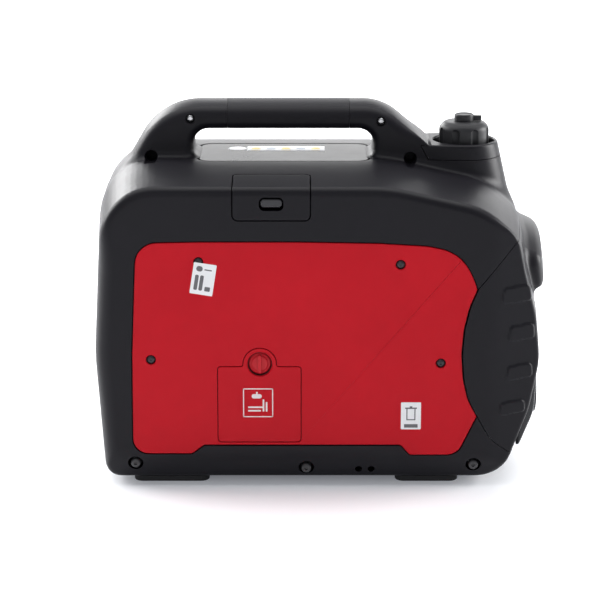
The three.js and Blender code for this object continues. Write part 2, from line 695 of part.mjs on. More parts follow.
function fuelSystem() {
  piece(
    'filler_collar',
    cut(
      softPrism('Z', rounded(towerPlan(0)), [collarBase, collarTop], 2),
      rod('Z', capRadius + 8, [capSeat - 6, height], [neckX, 0]),
      rod('Z', neckRadius + 3, [collarBase - 5, height], [neckX, 0]),
    ),
    black,
  );
  const neckTop = capSeat + 2;
  const vessel = softPrism('Z', rectangle(tank.x, tank.y, 22), tank.z, 10);
  const neck = rod('Z', neckRadius, [tank.z[1] - 4, neckTop], [neckX, 0]);
  const throat = rod('Z', neckRadius - 3, [tank.z[0] + 12, neckTop + 5], [neckX, 0]);
  piece('fuel_tank', vessel.add(neck).subtract(throat), gloss);
  const sealTop = neckTop + 3.6;
  piece('fuel_cap_seal', tube('Z', neckRadius + 0.6, neckRadius - 5, [neckTop + 0.4, sealTop], [neckX, 0]), rubber);
  const capBase = capSeat - 2.5;
  const capTop = capBase + capHeight;
  const body = turned('Z', [
    [0, capBase], [capRadius, capBase], [capRadius, capTop - 5], [capRadius - 4, capTop], [0, capTop],
  ], [neckX, 0], 24);
  const flutes = count(8).map((i) => {
    const angle = ((i + 0.5) * Math.PI) / 4;
    const reach = capRadius + 2;
    return rod('Z', 4, [capBase - 1, capTop - 5], [neckX + reach * Math.cos(angle), reach * Math.sin(angle)], 8);
  });
  const thread = rod('Z', neckRadius + 1.2, [capBase - 1, sealTop + 0.4], [neckX, 0]);
  piece('fuel_cap', cut(body, ...flutes, thread), rubber);
  const seat = capTop + clearance;
  const disc = turned('Z', [[0, seat], [11, seat], [11, seat + 6], [10, seat + 7.5], [0, seat + 7.5]], [neckX, 0]);
  piece('vent_lever', disc.add(box([neckX + 6, neckX + 20], [-3, 3], [seat, seat + 5.5])), rubber);
}

// ---------------------------------------------------------------- engine

const crankAxis = [crankOffset, crankHeight];

// Turns what is drawn upright on the crankshaft's axis to the cylinder's slant.
const tilted = (solid) =>
  solid
    .translate([0, -crankOffset, -crankHeight])
    .rotate([cylinderTilt, 0, 0])
    .translate([0, crankOffset, crankHeight]);

const barrel = [crankHeight + 56, crankHeight + 108];
const head = [barrel[1] + clearance, barrel[1] + 34];
const wristPin = crankHeight + 92; // at the top of the stroke
const crankPin = crankHeight + crankThrow;
const rodX = [cylinderX - 5, cylinderX + 5];
const oilHole = [cylinderX - 13, base + 62];
const caseSide = crankOffset - 62; // crankcase's service-side face

// A stack of square cooling fins.
const fins = (n, z0, halfX, halfY) =>
  count(n).map((i) =>
    box(grow([cylinderX, cylinderX], halfX), grow([crankOffset, crankOffset], halfY), [z0 + i * 7.4, z0 + i * 7.4 + 3]),
  );

// The spark plug's own axis, drawn upright at the origin and leaned towards the plug cover.
const onPlugAxis = (solid) => solid.rotate([46, 0, 0]).translate([cylinderX, crankOffset - 78, barrel[1] + 16]);

function engine() {
  const caseZ = [base + 26, crankHeight + 52];
  const block = softPrism('X', rectangle([caseSide, crankOffset + 56], caseZ, 20), crankcase.x, 4);
  const liner = rod('Z', bore / 2 + 7, [crankHeight + 30, barrel[1]], [cylinderX, crankOffset]);
  const bored = rod('Z', bore / 2, [crankHeight, barrel[1] + 1], [cylinderX, crankOffset]);
  piece(
    'crankcase',
    largest(
      cut(
        join(block, tilted(join(liner, ...fins(5, barrel[0] + 12, 33, 38)))),
        tilted(bored),
        rod('X', crankThrow + 27, [cylinderX - 26, cylinderX + 26], crankAxis, 28),
        rod('X', 13, [cylinderX, crankcase.x[1] + 5], crankAxis),
        rod('Y', 11, [caseSide - 1, caseSide + 14], oilHole, 16),
      ),
    ),
    castMetal,
  );
  const headBlock = box(grow([cylinderX, cylinderX], 30), grow([crankOffset, crankOffset], 33), head);
  const plugWell = onPlugAxis(join(rod('Z', 7.5, [-24, 60], [0, 0], 16), rod('Z', 11.5, [-0.6, 70], [0, 0], 16)));
  piece('cylinder_head', largest(cut(tilted(join(headBlock, ...fins(3, head[0], 33, 38))), plugWell)), castMetal);
  piece('spark_plug', onPlugAxis(turned('Z', [
    [0, -18], [7, -18], [7, 0], [10, 0], [10, 8], [6.4, 10], [6.4, 30], [0, 30],
  ], [0, 0], 14)), ceramic);
  const boot = turned('Z', [[0, 11], [10, 11], [12, 16], [12, 30], [9, 44], [0, 44]], [0, 0], 14);
  piece('spark_plug_boot', onPlugAxis(boot.subtract(rod('Z', 6.4 + clearance, [9, 31], [0, 0], 14))), rubber);
  piece('oil_filler_cap', turned('Y', [
    [0, caseSide - 9], [8, caseSide - 9], [12.5, caseSide - 6], [12.5, caseSide - clearance],
    [10, caseSide - clearance], [10, caseSide + 12], [0, caseSide + 12],
  ], oilHole, 16), gloss);
}

function crankTrain() {
  const web = [rodX[1] + 3, rodX[1] + 18];
  const cheek = rod('X', crankThrow + 14, web, crankAxis, 26);
  const relief = [-1, 1].map((sign) =>
    box(grow(web, 2), [crankOffset + sign * 13, crankOffset + sign * 50].sort((a, b) => a - b), [crankHeight + 4, crankHeight + 60]),
  );
  const pin = rod('X', 8, [rodX[1] + clearance, web[0] + 2], [crankOffset, crankPin], 14);
  const shaft = rod('X', 11, [web[1] - 2, rotor.x[1] + 4], crankAxis, 18);
  piece('crankshaft', tilted(join(cut(cheek, ...relief), pin, shaft)), steel);
  const crown = wristPin + 15;
  const skirt = wristPin - 12;
  const body = rod('Z', bore / 2 - 0.4, [skirt, crown], [cylinderX, crankOffset]);
  const inside = rod('Z', bore / 2 - 4, [skirt - 1, crown - 4.5], [cylinderX, crankOffset]);
  const wrist = rod('X', 6, [cylinderX - bore / 2 + 2, cylinderX + bore / 2 - 2], [crankOffset, wristPin], 14);
  piece('piston', tilted(join(body.subtract(inside), wrist)), castMetal);
  const eye = rod('X', 9.5, rodX, [crankOffset, wristPin], 16);
  const big = rod('X', 13, rodX, [crankOffset, crankPin], 18);
  const beam = box(grow(rodX, -2), [crankOffset - 6, crankOffset + 6], [crankPin, wristPin]);
  piece('connecting_rod', tilted(cut(join(eye, big, beam), rod('X', 6.4, grow(rodX, 1), [crankOffset, wristPin], 14), rod('X', 8.4, grow(rodX, 1), [crankOffset, crankPin], 14))), steel);
}

function alternator() {
  const [from, to] = rotor.x;
  const shell = tube('X', rotorRadius, rotorRadius - 6, rotor.x, crankAxis, 24);
  const disc = rod('X', rotorRadius - 2, [to - 7, to], crankAxis, 24);
  const blades = count(10).map((i) =>
    box([to - 1, to + 9], [26, rotorRadius - 3], [-1.3, 1.3])
      .rotate([i * 36, 0, 0])
      .translate([0, crankOffset, crankHeight]),
  );
  piece('rotor', cut(join(shell, disc, ...blades), rod('X', 11.4, [to - 10, to + 12], crankAxis, 18)), steel);
  const core = tube('X', rotorRadius - 8, 16, [from - 5, to - 12], crankAxis, 24);
  const gaps = count(9).map((i) => {
    const angle = (i * 2 * Math.PI) / 9;
    return rod('X', 6, [from - 6, to - 11], [crankOffset + 40 * Math.cos(angle), crankHeight + 40 * Math.sin(angle)], 6);
  });
  piece('stator', cut(core, ...gaps), copper);
}

const exhaust = { y: crankOffset + 20, z: base + 140 };

function intakeAndExhaust() {
  const port = [crankOffset, crankHeight + 125];
  const can = softPrism('X', rectangle([-66, 74], [base + 96, crankHeight + 131], 22), [rear + 24, rear + 92], 8);
  const header = tilted(rod('X', 9, [rear + 88, cylinderX - 36], port, 14));
  const flangePlate = tilted(rod('X', 15, [cylinderX - 37, cylinderX - 33 - clearance], port, 14));
  const seat = rod('X', 14 + clearance, [rear, rear + 34], [exhaust.y, exhaust.z], 18);
  piece('muffler', join(can, header, flangePlate).subtract(seat), steel);
  const pipe = tube('X', 14, 11.5, [rear + 3, rear + 33], [exhaust.y, exhaust.z], 18);
  const screen = box([rear + 8, rear + 9.5], grow([exhaust.y, exhaust.y], 2), grow([exhaust.z, exhaust.z], 12.5));
  piece('exhaust_outlet', pipe.add(screen), steel);

  const inletZ = crankHeight + 125;
  const spigot = tilted(rod('Y', 10, [crankOffset + 38 + clearance, crankOffset + 54], [cylinderX, inletZ], 14));
  const throat = tilted(box(grow([cylinderX, cylinderX], 17), [crankOffset + 52, crankOffset + 76], [inletZ - 16, inletZ + 14]));
  const bowl = tilted(rod('Z', 13, [inletZ - 38, inletZ - 14], [cylinderX, crankOffset + 64], 16));
  piece('carburettor', join(spigot, throat, bowl), castMetal);
  const filter = { x: grow([cylinderX, cylinderX], 40), y: [crankOffset + 62, side - 18], z: [base + 215, deck - 40] };
  piece('air_cleaner', softPrism('Y', rectangle(filter.x, filter.z, 12, 2), filter.y, 4), black);
}

function electrics() {
  const caseX = [housingEnd + 14, panelX - 42];
  const block = softPrism('X', rectangle([-82, 82], [base + 30, crankHeight + 66], 8, 2), caseX, 3, 1);
  const ribsBehind = count(8).map((i) => {
    const y = -70 + i * 20;
    return box([caseX[0] - 8, caseX[0] + 1], [y - 1.5, y + 1.5], [base + 40, crankHeight + 56]);
  });
  piece('inverter_module', join(block, ...ribsBehind), castMetal);
  const at = [crankcase.x[0] + 8, crankcase.x[0] + 44];
  piece('ignition_module', softPrism('X', rectangle([crankOffset + 60, crankOffset + 84], [crankHeight + 4, crankHeight + 44], 4, 2), at, 2, 1), rubber);
}

casing();
rearEnd();
endCover();
controlPanel();
sidePanels();
doors();
screws();
starter();
fuelSystem();
engine();
crankTrain();
alternator();
intakeAndExhaust();
electrics();

export default generator;
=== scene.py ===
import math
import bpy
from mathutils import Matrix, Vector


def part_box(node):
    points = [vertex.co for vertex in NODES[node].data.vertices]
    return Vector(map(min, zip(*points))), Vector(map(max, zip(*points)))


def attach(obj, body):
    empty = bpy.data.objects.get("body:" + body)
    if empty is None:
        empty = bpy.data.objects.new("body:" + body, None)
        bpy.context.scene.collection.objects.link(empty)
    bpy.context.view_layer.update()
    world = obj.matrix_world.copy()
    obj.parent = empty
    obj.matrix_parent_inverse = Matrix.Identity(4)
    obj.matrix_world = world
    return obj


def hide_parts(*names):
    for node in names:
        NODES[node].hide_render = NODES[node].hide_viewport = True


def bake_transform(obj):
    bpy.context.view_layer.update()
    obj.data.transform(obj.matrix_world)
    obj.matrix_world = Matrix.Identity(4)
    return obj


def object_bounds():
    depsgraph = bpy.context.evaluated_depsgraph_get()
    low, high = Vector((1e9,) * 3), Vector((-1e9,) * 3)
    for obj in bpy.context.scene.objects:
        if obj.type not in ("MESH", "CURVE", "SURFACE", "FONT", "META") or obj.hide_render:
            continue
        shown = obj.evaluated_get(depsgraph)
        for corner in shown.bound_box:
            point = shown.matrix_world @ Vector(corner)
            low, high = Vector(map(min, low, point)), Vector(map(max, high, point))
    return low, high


bl_info = {
    "name": "Portable Generator",
    "version": (1, 0, 0),
    "blender": (4, 5, 0),
    "location": "View3D > Sidebar > Generator",
    "description": "Builds a suitcase inverter generator on its packed frame",
    "category": "Object",
}

import bpy
import numpy as np
import openvdb
from bpy.props import FloatProperty, FloatVectorProperty, PointerProperty
from bpy.types import Operator, Panel, PropertyGroup
from mathutils import Matrix, Vector

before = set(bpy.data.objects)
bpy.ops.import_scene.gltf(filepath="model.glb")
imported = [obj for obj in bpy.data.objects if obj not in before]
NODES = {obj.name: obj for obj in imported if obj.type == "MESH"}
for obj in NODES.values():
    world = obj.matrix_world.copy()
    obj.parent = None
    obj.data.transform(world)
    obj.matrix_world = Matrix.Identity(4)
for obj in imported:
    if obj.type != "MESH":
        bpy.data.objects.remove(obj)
CAD_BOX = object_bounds()
MM = 0.001


# ------------------------------------------------------------------ places, in millimetres

def span(node):
    """A CAD node's lowest and highest corners, in millimetres."""
    low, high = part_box(node)
    return np.array(low) / MM, np.array(high) / MM


def middle(node):
    """The middle of a CAD node's box, in millimetres."""
    return sum(span(node)) / 2


END_MARGIN = 3.0  # the side view's end stations lie this far outside the casing's ends
REAR, FRONT = CAD_BOX[0][0] / MM - END_MARGIN, CAD_BOX[1][0] / MM + END_MARGIN
SIDE = CAD_BOX[1][1] / MM
TOP = CAD_BOX[1][2] / MM
BASE = span("base_tray")[0][2]
DECK = span("deck_plate")[1][2]
COLLAR_BASE, COLLAR_TOP = span("filler_collar")[0][2], span("filler_collar")[1][2]
NECK_X = middle("fuel_cap")[0]
PANEL_TOP = span("side_panel_left")[1][2]
WINDOW_TOP = span("handle_grip")[0][2]


# ------------------------------------------------------------------ outlines

def inward(a, b):
    """The unit normal on the left of the edge from a to b."""
    across = Vector((a[1] - b[1], b[0] - a[0]))
    return across.normalized()


def normals_at(corners, i):
    """The inward normals of the two edges that meet at corner i."""
    here, last, after = corners[i], corners[i - 1], corners[(i + 1) % len(corners)]
    return inward(last, here), inward(here, after)


def inset(corners, distance):
    """An anticlockwise outline of (u, v, radius) corners, moved inwards."""
    moved = []
    for i, (u, v, r) in enumerate(corners):
        a, b = normals_at(corners, i)
        shift = distance / (1 + a.dot(b))
        turn = 1 if a.x * b.y - a.y * b.x >= 0 else -1
        moved.append((u + (a.x + b.x) * shift, v + (a.y + b.y) * shift, max(r - turn * distance, 0.2)))
    return moved


def rounded(corners, steps=8):
    """Points along an outline of (u, v, radius) corners, each rounded by an arc."""
    points = []
    for i, (u, v, r) in enumerate(corners):
        a, b = normals_at(corners, i)
        turn = 1 if a.x * b.y - a.y * b.x >= 0 else -1
        centre = Vector((u, v)) + (a + b) * (r * turn / (1 + a.dot(b)))
        start = math.atan2(-turn * a.y, -turn * a.x)
        sweep = turn * math.acos(max(-1.0, min(1.0, a.dot(b))))
        for k in range(steps + 1):
            angle = start + sweep * k / steps
            points.append((centre.x + r * math.cos(angle), centre.y + r * math.sin(angle)))
    return points


def rectangle(low, high, radius):
    """The corners of a rectangle in (u, v)."""
    (u0, v0), (u1, v1) = low, high
    return [(u0, v0, radius), (u1, v0, radius), (u1, v1, radius), (u0, v1, radius)]


def circle(centre, radius, steps=48):
    """Points round a circle, anticlockwise."""
    turns = [2 * math.pi * k / steps for k in range(steps)]
    return [(centre[0] + radius * math.cos(t), centre[1] + radius * math.sin(t)) for t in turns]


# ------------------------------------------------------------------ meshes

AXES = {
    "X": lambda u, v, w: (w, u, v),
    "Y": lambda u, v, w: (u, w, v),
    "Z": lambda u, v, w: (u, v, w),
}


def new_object(name, points, faces):
    """A mesh object in the scene from points in millimetres."""
    mesh = bpy.data.meshes.new(name)
    mesh.from_pydata([tuple(c * MM for c in p) for p in points], [], faces)
    mesh.validate()
    made = bpy.data.objects.new(name, mesh)
    bpy.context.scene.collection.objects.link(made)
    return made


def skin(name, rings, closed=False):
    """A skin over rings of points, capped at both ends or joined into a loop; faces point out."""
    n = len(rings[0])
    points = [p for ring in rings for p in ring]
    faces = []
    last = len(rings) if closed else len(rings) - 1
    for k in range(last):
        a, b = k * n, (k + 1) % len(rings) * n
        faces += [(a + i, a + (i + 1) % n, b + (i + 1) % n, b + i) for i in range(n)]
    if not closed:
        faces.append(tuple(reversed(range(n))))
        faces.append(tuple(range(len(points) - n, len(points))))
    made = new_object(name, points, faces)
    point_out(made)
    return made


def point_out(made):
    """Turns a closed mesh's faces so that they point out."""
    mesh = made.data
    points = np.empty(len(mesh.vertices) * 3)
    mesh.vertices.foreach_get("co", points)
    points = points.reshape(-1, 3)
    mesh.calc_loop_triangles()
    corners = np.empty(len(mesh.loop_triangles) * 3, dtype=np.int32)
    mesh.loop_triangles.foreach_get("vertices", corners)
    a, b, c = points[corners.reshape(-1, 3)].transpose(1, 0, 2)
    if np.einsum("ij,ij->i", a, np.cross(b, c)).sum() < 0:
        mesh.flip_normals()


def block(name, axis, corners, low, high, lip=0.0, base_lip=0.0, steps=3, arc=8):
    """A prism over an outline of (u, v, radius) corners, its edges rounded by lip at its high end
    and base_lip at its low end. A negative lip flares out, as the mouth of a cutting tool does."""
    profile = []
    for size, end, sign in ((base_lip, low, 1), (lip, high, -1)):
        if not size:
            profile.append((0.0, end))
            continue
        reach = abs(size)
        for t in (math.pi / 2 * k / steps for k in range(steps + 1)):
            if size > 0:
                profile.append((reach * (1 - math.cos(t)), end + sign * reach * (1 - math.sin(t))))
            else:
                profile.append((-reach * (1 - math.sin(t)), end + sign * reach * (1 - math.cos(t))))
    profile.sort(key=lambda at: at[1])
    place = AXES[axis]
    rings = []
    for shift, w in profile:
        outline = rounded(inset(corners, shift) if shift else corners, arc)
        rings.append([place(u, v, w) for u, v in outline])
    return skin(name, rings)


def lathe(name, axis, centre, profile, steps=64):
    """A profile of (radius, w) turned about an axis through centre; it starts and ends on the axis."""
    place = AXES[axis]
    points, faces, rows = [], [], []
    for radius, w in profile:
        count = steps if radius > 1e-6 else 1
        rows.append(range(len(points), len(points) + count))
        points += [place(u, v, w) for u, v in circle(centre, radius, count)]
    for a, b in zip(rows, rows[1:]):
        for i in range(steps):
            j = (i + 1) % steps
            ring = [a[i % len(a)], a[j % len(a)], b[j % len(b)], b[i % len(b)]]
            face = tuple(dict.fromkeys(ring))
            if len(face) > 2:
                faces.append(face)
    made = new_object(name, points, faces)
    point_out(made)
    return made


def soft_profile(corners, steps=4):
    """A (radius, w, rounding) profile with its corners rounded, for lathe."""
    points = [(corners[0][0], corners[0][1])]
    for (a, b, c) in zip(corners, corners[1:], corners[2:]):
        at, r = Vector(b[:2]), b[2]
        if not r:
            points.append(tuple(at))
            continue
        back, on = (Vector(a[:2]) - at), (Vector(c[:2]) - at)
        r = min(r, back.length * 0.49, on.length * 0.49)
        p, q = at + back.normalized() * r, at + on.normalized() * r
        for k in range(steps + 1):
            t = k / steps
            points.append(tuple(p * (1 - t) ** 2 + at * 2 * t * (1 - t) + q * t * t))
    points.append((corners[-1][0], corners[-1][1]))
    return points


def tube(name, path, radius, sides=12):
    """A round tube along a path of points in millimetres, with capped ends."""
    path = [Vector(p) for p in path]
    rings, side = [], None
    for i, p in enumerate(path):
        along = (path[min(i + 1, len(path) - 1)] - path[max(i - 1, 0)]).normalized()
        side = (side - along * side.dot(along)) if side else along.orthogonal()
        side.normalize()
        other = along.cross(side)
        angles = [2 * math.pi * k / sides for k in range(sides)]
        rings.append([tuple(p + side * radius * math.cos(t) + other * radius * math.sin(t)) for t in angles])
    return skin(name, rings)


def joined(name, parts):
    """Several objects made into one mesh, without cutting."""
    bpy.ops.object.select_all(action="DESELECT")
    for part in parts:
        part.select_set(True)
    bpy.context.view_layer.objects.active = parts[0]
    bpy.ops.object.join()
    parts[0].name = name
    parts[0].data.name = name
    return parts[0]


def copied(made, name, mirror=False):
    """A copy with a mesh of its own, mirrored in Y if asked."""
    twin = bpy.data.objects.new(name, made.data.copy())
    bpy.context.scene.collection.objects.link(twin)
    if mirror:
        twin.data.transform(Matrix.Scale(-1, 4, (0, 1, 0)))
        twin.data.flip_normals()
    return twin


def moved(made, offset=(0, 0, 0), turn=0.0, axis="Z", about=(0, 0, 0)):
    """Turns a mesh by degrees about a point, then shifts it, in millimetres."""
    centre = Matrix.Translation(Vector(about) * MM)
    spin = Matrix.Rotation(math.radians(turn), 4, axis)
    made.data.transform(Matrix.Translation(Vector(offset) * MM) @ centre @ spin @ centre.inverted())
    return made


def drop(*parts):
    """Deletes objects and their meshes."""
    for part in parts:
        mesh = part.data
        bpy.data.objects.remove(part)
        bpy.data.meshes.remove(mesh)


def combine(target, tools, operation="DIFFERENCE", keep=False):
    """Cuts, joins or keeps what target shares with each tool."""
    for tool in tools:
        change = target.modifiers.new("cut", "BOOLEAN")
        change.operation = operation
        change.object = tool
        change.solver = "MANIFOLD"
    result = bpy.data.meshes.new_from_object(target.evaluated_get(bpy.context.evaluated_depsgraph_get()))
    target.modifiers.clear()
    old, target.data = target.data, result
    bpy.data.meshes.remove(old)
    if not keep:
        drop(*tools)
    return target


def shade(made, degrees=32):
    """Smooth shading with sharp edges past an angle; flat faces stay flat."""
    mesh = made.data
    mesh.shade_smooth()
    mesh.set_sharp_from_angle(angle=math.radians(degrees))
    weighted = made.modifiers.new("weighted", "WEIGHTED_NORMAL")
    weighted.keep_sharp = True
    made.data = bpy.data.meshes.new_from_object(made.evaluated_get(bpy.context.evaluated_depsgraph_get()))
    made.modifiers.clear()
    bpy.data.meshes.remove(mesh)
    return made


def finished(made, body, material, nodes=(), degrees=32):
    """Shades a piece, gives it its material and its body, and lets it stand for its CAD nodes."""
    shade(made, degrees)
    dress(made, material)
    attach(made, body)
    if nodes:
        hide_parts(*nodes)
    return made


LEVEL_REACH = 0.02  # how near a panel's outer face a point counts as on it


def level(made, height):
    """Makes a panel's flat outer face, at y = height, point straight out."""
    mesh = made.data
    sign = math.copysign(1, height)
    corner = [tuple(normal.vector) for normal in mesh.corner_normals]
    flat = [abs(v.co.y - height * MM) < LEVEL_REACH * MM for v in mesh.vertices]
    for face in mesh.polygons:
        if all(flat[v] for v in face.vertices):
            for loop in face.loop_indices:
                corner[loop] = (0, sign, 0)
    mesh.normals_split_custom_set(corner)
    return made


def dress(made, material):
    """Gives an object one material."""
    made.data.materials.clear()
    made.data.materials.append(material)


# ------------------------------------------------------------------ rounded forms

def smooth(low, high, value):
    """A soft step from 0 at low to 1 at high."""
    t = np.clip((value - low) / (high - low), 0.0, 1.0)
    return t * t * (3 - 2 * t)


def both(a, b, radius):
    """What two forms share, with the edge between them rounded."""
    corner = np.hypot(np.maximum(radius + a, 0), np.maximum(radius + b, 0))
    return np.minimum(-radius, np.maximum(a, b)) + corner


def either(a, b, radius):
    """Two forms joined, with a fillet where they meet."""
    return -both(-a, -b, radius)


def crease(a, b, width):
    """What two forms share that meet at a flat angle, with the crease softened."""
    near = np.maximum(width - np.abs(a - b), 0) / width
    return np.maximum(a, b) + near * near * width / 4


class Outline:
    """The signed distance to a side-view outline, looked up in a table."""

    STEP = 1.0
    MARGIN = 45.0

    def __init__(self, corners, steps=14):
        ends = np.array(rounded(corners, steps))
        self.low = np.floor(ends.min(axis=0)) - self.MARGIN
        size = np.ceil((ends.max(axis=0) + self.MARGIN - self.low) / self.STEP).astype(int) + 1
        u, v = np.meshgrid(*(self.low[k] + self.STEP * np.arange(size[k]) for k in (0, 1)), indexing="ij")
        nearest = np.full(u.shape, 1e9)
        inside = np.zeros(u.shape, dtype=bool)
        for (au, av), (bu, bv) in zip(ends, np.roll(ends, -1, axis=0)):
            du, dv = bu - au, bv - av
            length = du * du + dv * dv
            if length < 1e-9:
                continue
            t = np.clip(((u - au) * du + (v - av) * dv) / length, 0, 1)
            nearest = np.minimum(nearest, (u - au - t * du) ** 2 + (v - av - t * dv) ** 2)
            if dv:
                inside ^= ((av > v) != (bv > v)) & (u < au + (v - av) * du / dv)
        self.table = np.sqrt(nearest) * np.where(inside, -1, 1)

    def at(self, u, v):
        """The distance at each (u, v), negative inside."""
        place = [(c - low) / self.STEP for c, low in zip((u, v), self.low)]
        limits = np.array(self.table.shape) - 2
        cell = [np.clip(np.floor(p), 0, most).astype(int) for p, most in zip(place, limits)]
        fu, fv = (np.clip(p - c, 0, 1) for p, c in zip(place, cell))
        t, i, j = self.table, cell[0], cell[1]
        return (t[i, j] * (1 - fu) * (1 - fv) + t[i + 1, j] * fu * (1 - fv)
                + t[i, j + 1] * (1 - fu) * fv + t[i + 1, j + 1] * fu * fv)


def slope_of(form, points):
    """A form's value at points, and its unit slope there."""
    reach = 0.4
    value = form(*points.T)
    slope = np.empty_like(points)
    for k in range(3):
        step = np.zeros(3)
        step[k] = reach
        slope[:, k] = (form(*(points + step).T) - form(*(points - step).T)) / (2 * reach)
    size = np.maximum(np.linalg.norm(slope, axis=1, keepdims=True), 1e-6)
    return value, slope / size, size[:, 0]


def grown(name, form, low, high, step, passes=2):
    """A mesh on the surface of a form, from a grid with its box and step in millimetres."""
    low, high = np.array(low, float), np.array(high, float)
    counts = np.ceil((high - low) / step).astype(int) + 1
    axes = [low[k] + step * np.arange(counts[k]) for k in range(3)]
    x, y, z = np.meshgrid(*axes, indexing="ij")
    values = form(x, y, z).astype(np.float32)
    volume = openvdb.FloatGrid()
    volume.background = float(values.max())
    volume.copyFromArray(values)
    points, quads = volume.convertToQuads(0.0)
    points = low + points.astype(float) * step
    for _ in range(passes):
        value, slope, size = slope_of(form, points)
        shift = np.clip(value / size, -step * 0.7, step * 0.7)
        points -= slope * shift[:, None]
    made = new_object(name, points.tolist(), quads.tolist())
    point_out(made)
    return made


def follow(made, form, near=0.2, alike=0.75):
    """Shades the faces that lie on a form by the form's own slope."""
    mesh = made.data
    points = np.empty(len(mesh.vertices) * 3)
    mesh.vertices.foreach_get("co", points)
    value, slope, _ = slope_of(form, points.reshape(-1, 3) / MM)
    loops = np.empty(len(mesh.loops), dtype=np.int32)
    mesh.loops.foreach_get("vertex_index", loops)
    corner = np.empty(len(loops) * 3)
    mesh.corner_normals.foreach_get("vector", corner)
    corner = corner.reshape(-1, 3)
    facing = np.empty(len(mesh.polygons) * 3)
    mesh.polygons.foreach_get("normal", facing)
    totals = np.empty(len(mesh.polygons), dtype=np.int32)
    mesh.polygons.foreach_get("loop_total", totals)
    facing = np.repeat(facing.reshape(-1, 3), totals, axis=0)
    use = (np.abs(value)[loops] < near) & (np.einsum("ij,ij->i", facing, slope[loops]) > alike)
    corner[use] = slope[loops][use]
    mesh.normals_split_custom_set(corner.tolist())
    return made


# ------------------------------------------------------------------ the casing's form

SIDE_FACE = SIDE - 0.8
PANEL_FACE = SIDE - 1.5
SPINE_HALF = span("handle_grip")[1][1]
TOWER_HALF = span("filler_collar")[1][1]
TOWER_NOSE = 37.6  # neck's axis to the front of the tower
LEGS = (REAR + 114, FRONT - 195)

BODY = [
    (REAR + 13, BASE, 18), (FRONT - 44, BASE, 45), (FRONT - 14, BASE + 78, 90), (FRONT - 8, BASE + 136, 120),
    (FRONT - 13, BASE + 190, 120), (FRONT - 25.5, DECK - 99, 60), (FRONT - 34, DECK - 56, 45),
    (FRONT - 71, DECK - 23.5, 90), (FRONT - 180, DECK, 200), (REAR + 13, DECK, 62), (REAR + 3, BASE + 140, 300),
]
SPINE = [
    (REAR + 12, DECK - 85, 2), (FRONT + 30, DECK - 85, 2), (FRONT + 30, COLLAR_TOP, 2),
    (FRONT - 134, COLLAR_TOP, 1.5), (FRONT - 148, COLLAR_TOP + 14.5, 50),
    (FRONT - 184, TOP, 60), (REAR + 78, TOP, 75), (REAR + 20, DECK - 38, 60),
]
HAND_WINDOW = [
    (LEGS[0], DECK - 40, 2), (LEGS[1], DECK - 40, 2), (LEGS[1], WINDOW_TOP, 17), (LEGS[0], WINDOW_TOP, 17),
]
VISOR = [
    (FRONT - 65, DECK - 133, 4), (FRONT - 13.5, DECK - 133, 6), (FRONT - 4.4, DECK - 109, 20),
    (FRONT - 8.5, DECK - 80.5, 14), (FRONT - 29, DECK - 71.5, 8), (FRONT - 65, DECK - 71, 4),
]
# The line between the casing and the end moulding: down the front edge of the shoulder, straight
# to the red panel's tip, along its hollow arc and out at the foot.
END_ARC = [(163.5, 205), (157.8, 180), (155.6, 152), (157.8, 123), (163.3, 100)]
END_REGION = [
    (FRONT + 45, -30, 1), (FRONT + 45, DECK - 49, 1), (FRONT - 28.5, DECK - 62, 3), (FRONT - 43.5, DECK - 74.5, 6),
    (FRONT - 83, DECK - 123, 1.5), *[(x, z, 60) for x, z in END_ARC], (FRONT - 82, BASE + 74, 4),
    (FRONT - 67, BASE + 47, 45), (FRONT - 48, BASE + 33, 4), (FRONT + 20, BASE - 20, 1),
]
RED_PANEL = [
    (-206, 38.5, 17), (-141, 38.5, 5), (-128, 48.5, 5), (89, 48.5, 5), (99, 37, 5), (151, 37, 18),
    (172, 81, 0.8), *[(x - 1.4, z, 60) for x, z in END_ARC[::-1]], (170.4, 225, 0.8), (167.4, 234.5, 60),
    (159.5, 251.4, 56), (148.8, 262.5, 38), (135.5, 269.3, 40), (116, 273.4, 60), (64, 276.5, 100),
    (-22, 278, 100), (-130, 278, 60), (-199.5, 276.8, 24),
    (-201.5, 235, 60), (-205.3, 150, 100),
]
RIBS = [
    ((214, 218.5), 34, 18), ((220, 175), 30, 17), ((218.5, 130.5), 30, 16), ((211, 90), 30, 14),
]
BOTTOM_TILT = math.radians(27)
FRONT_TILT = math.radians(16)


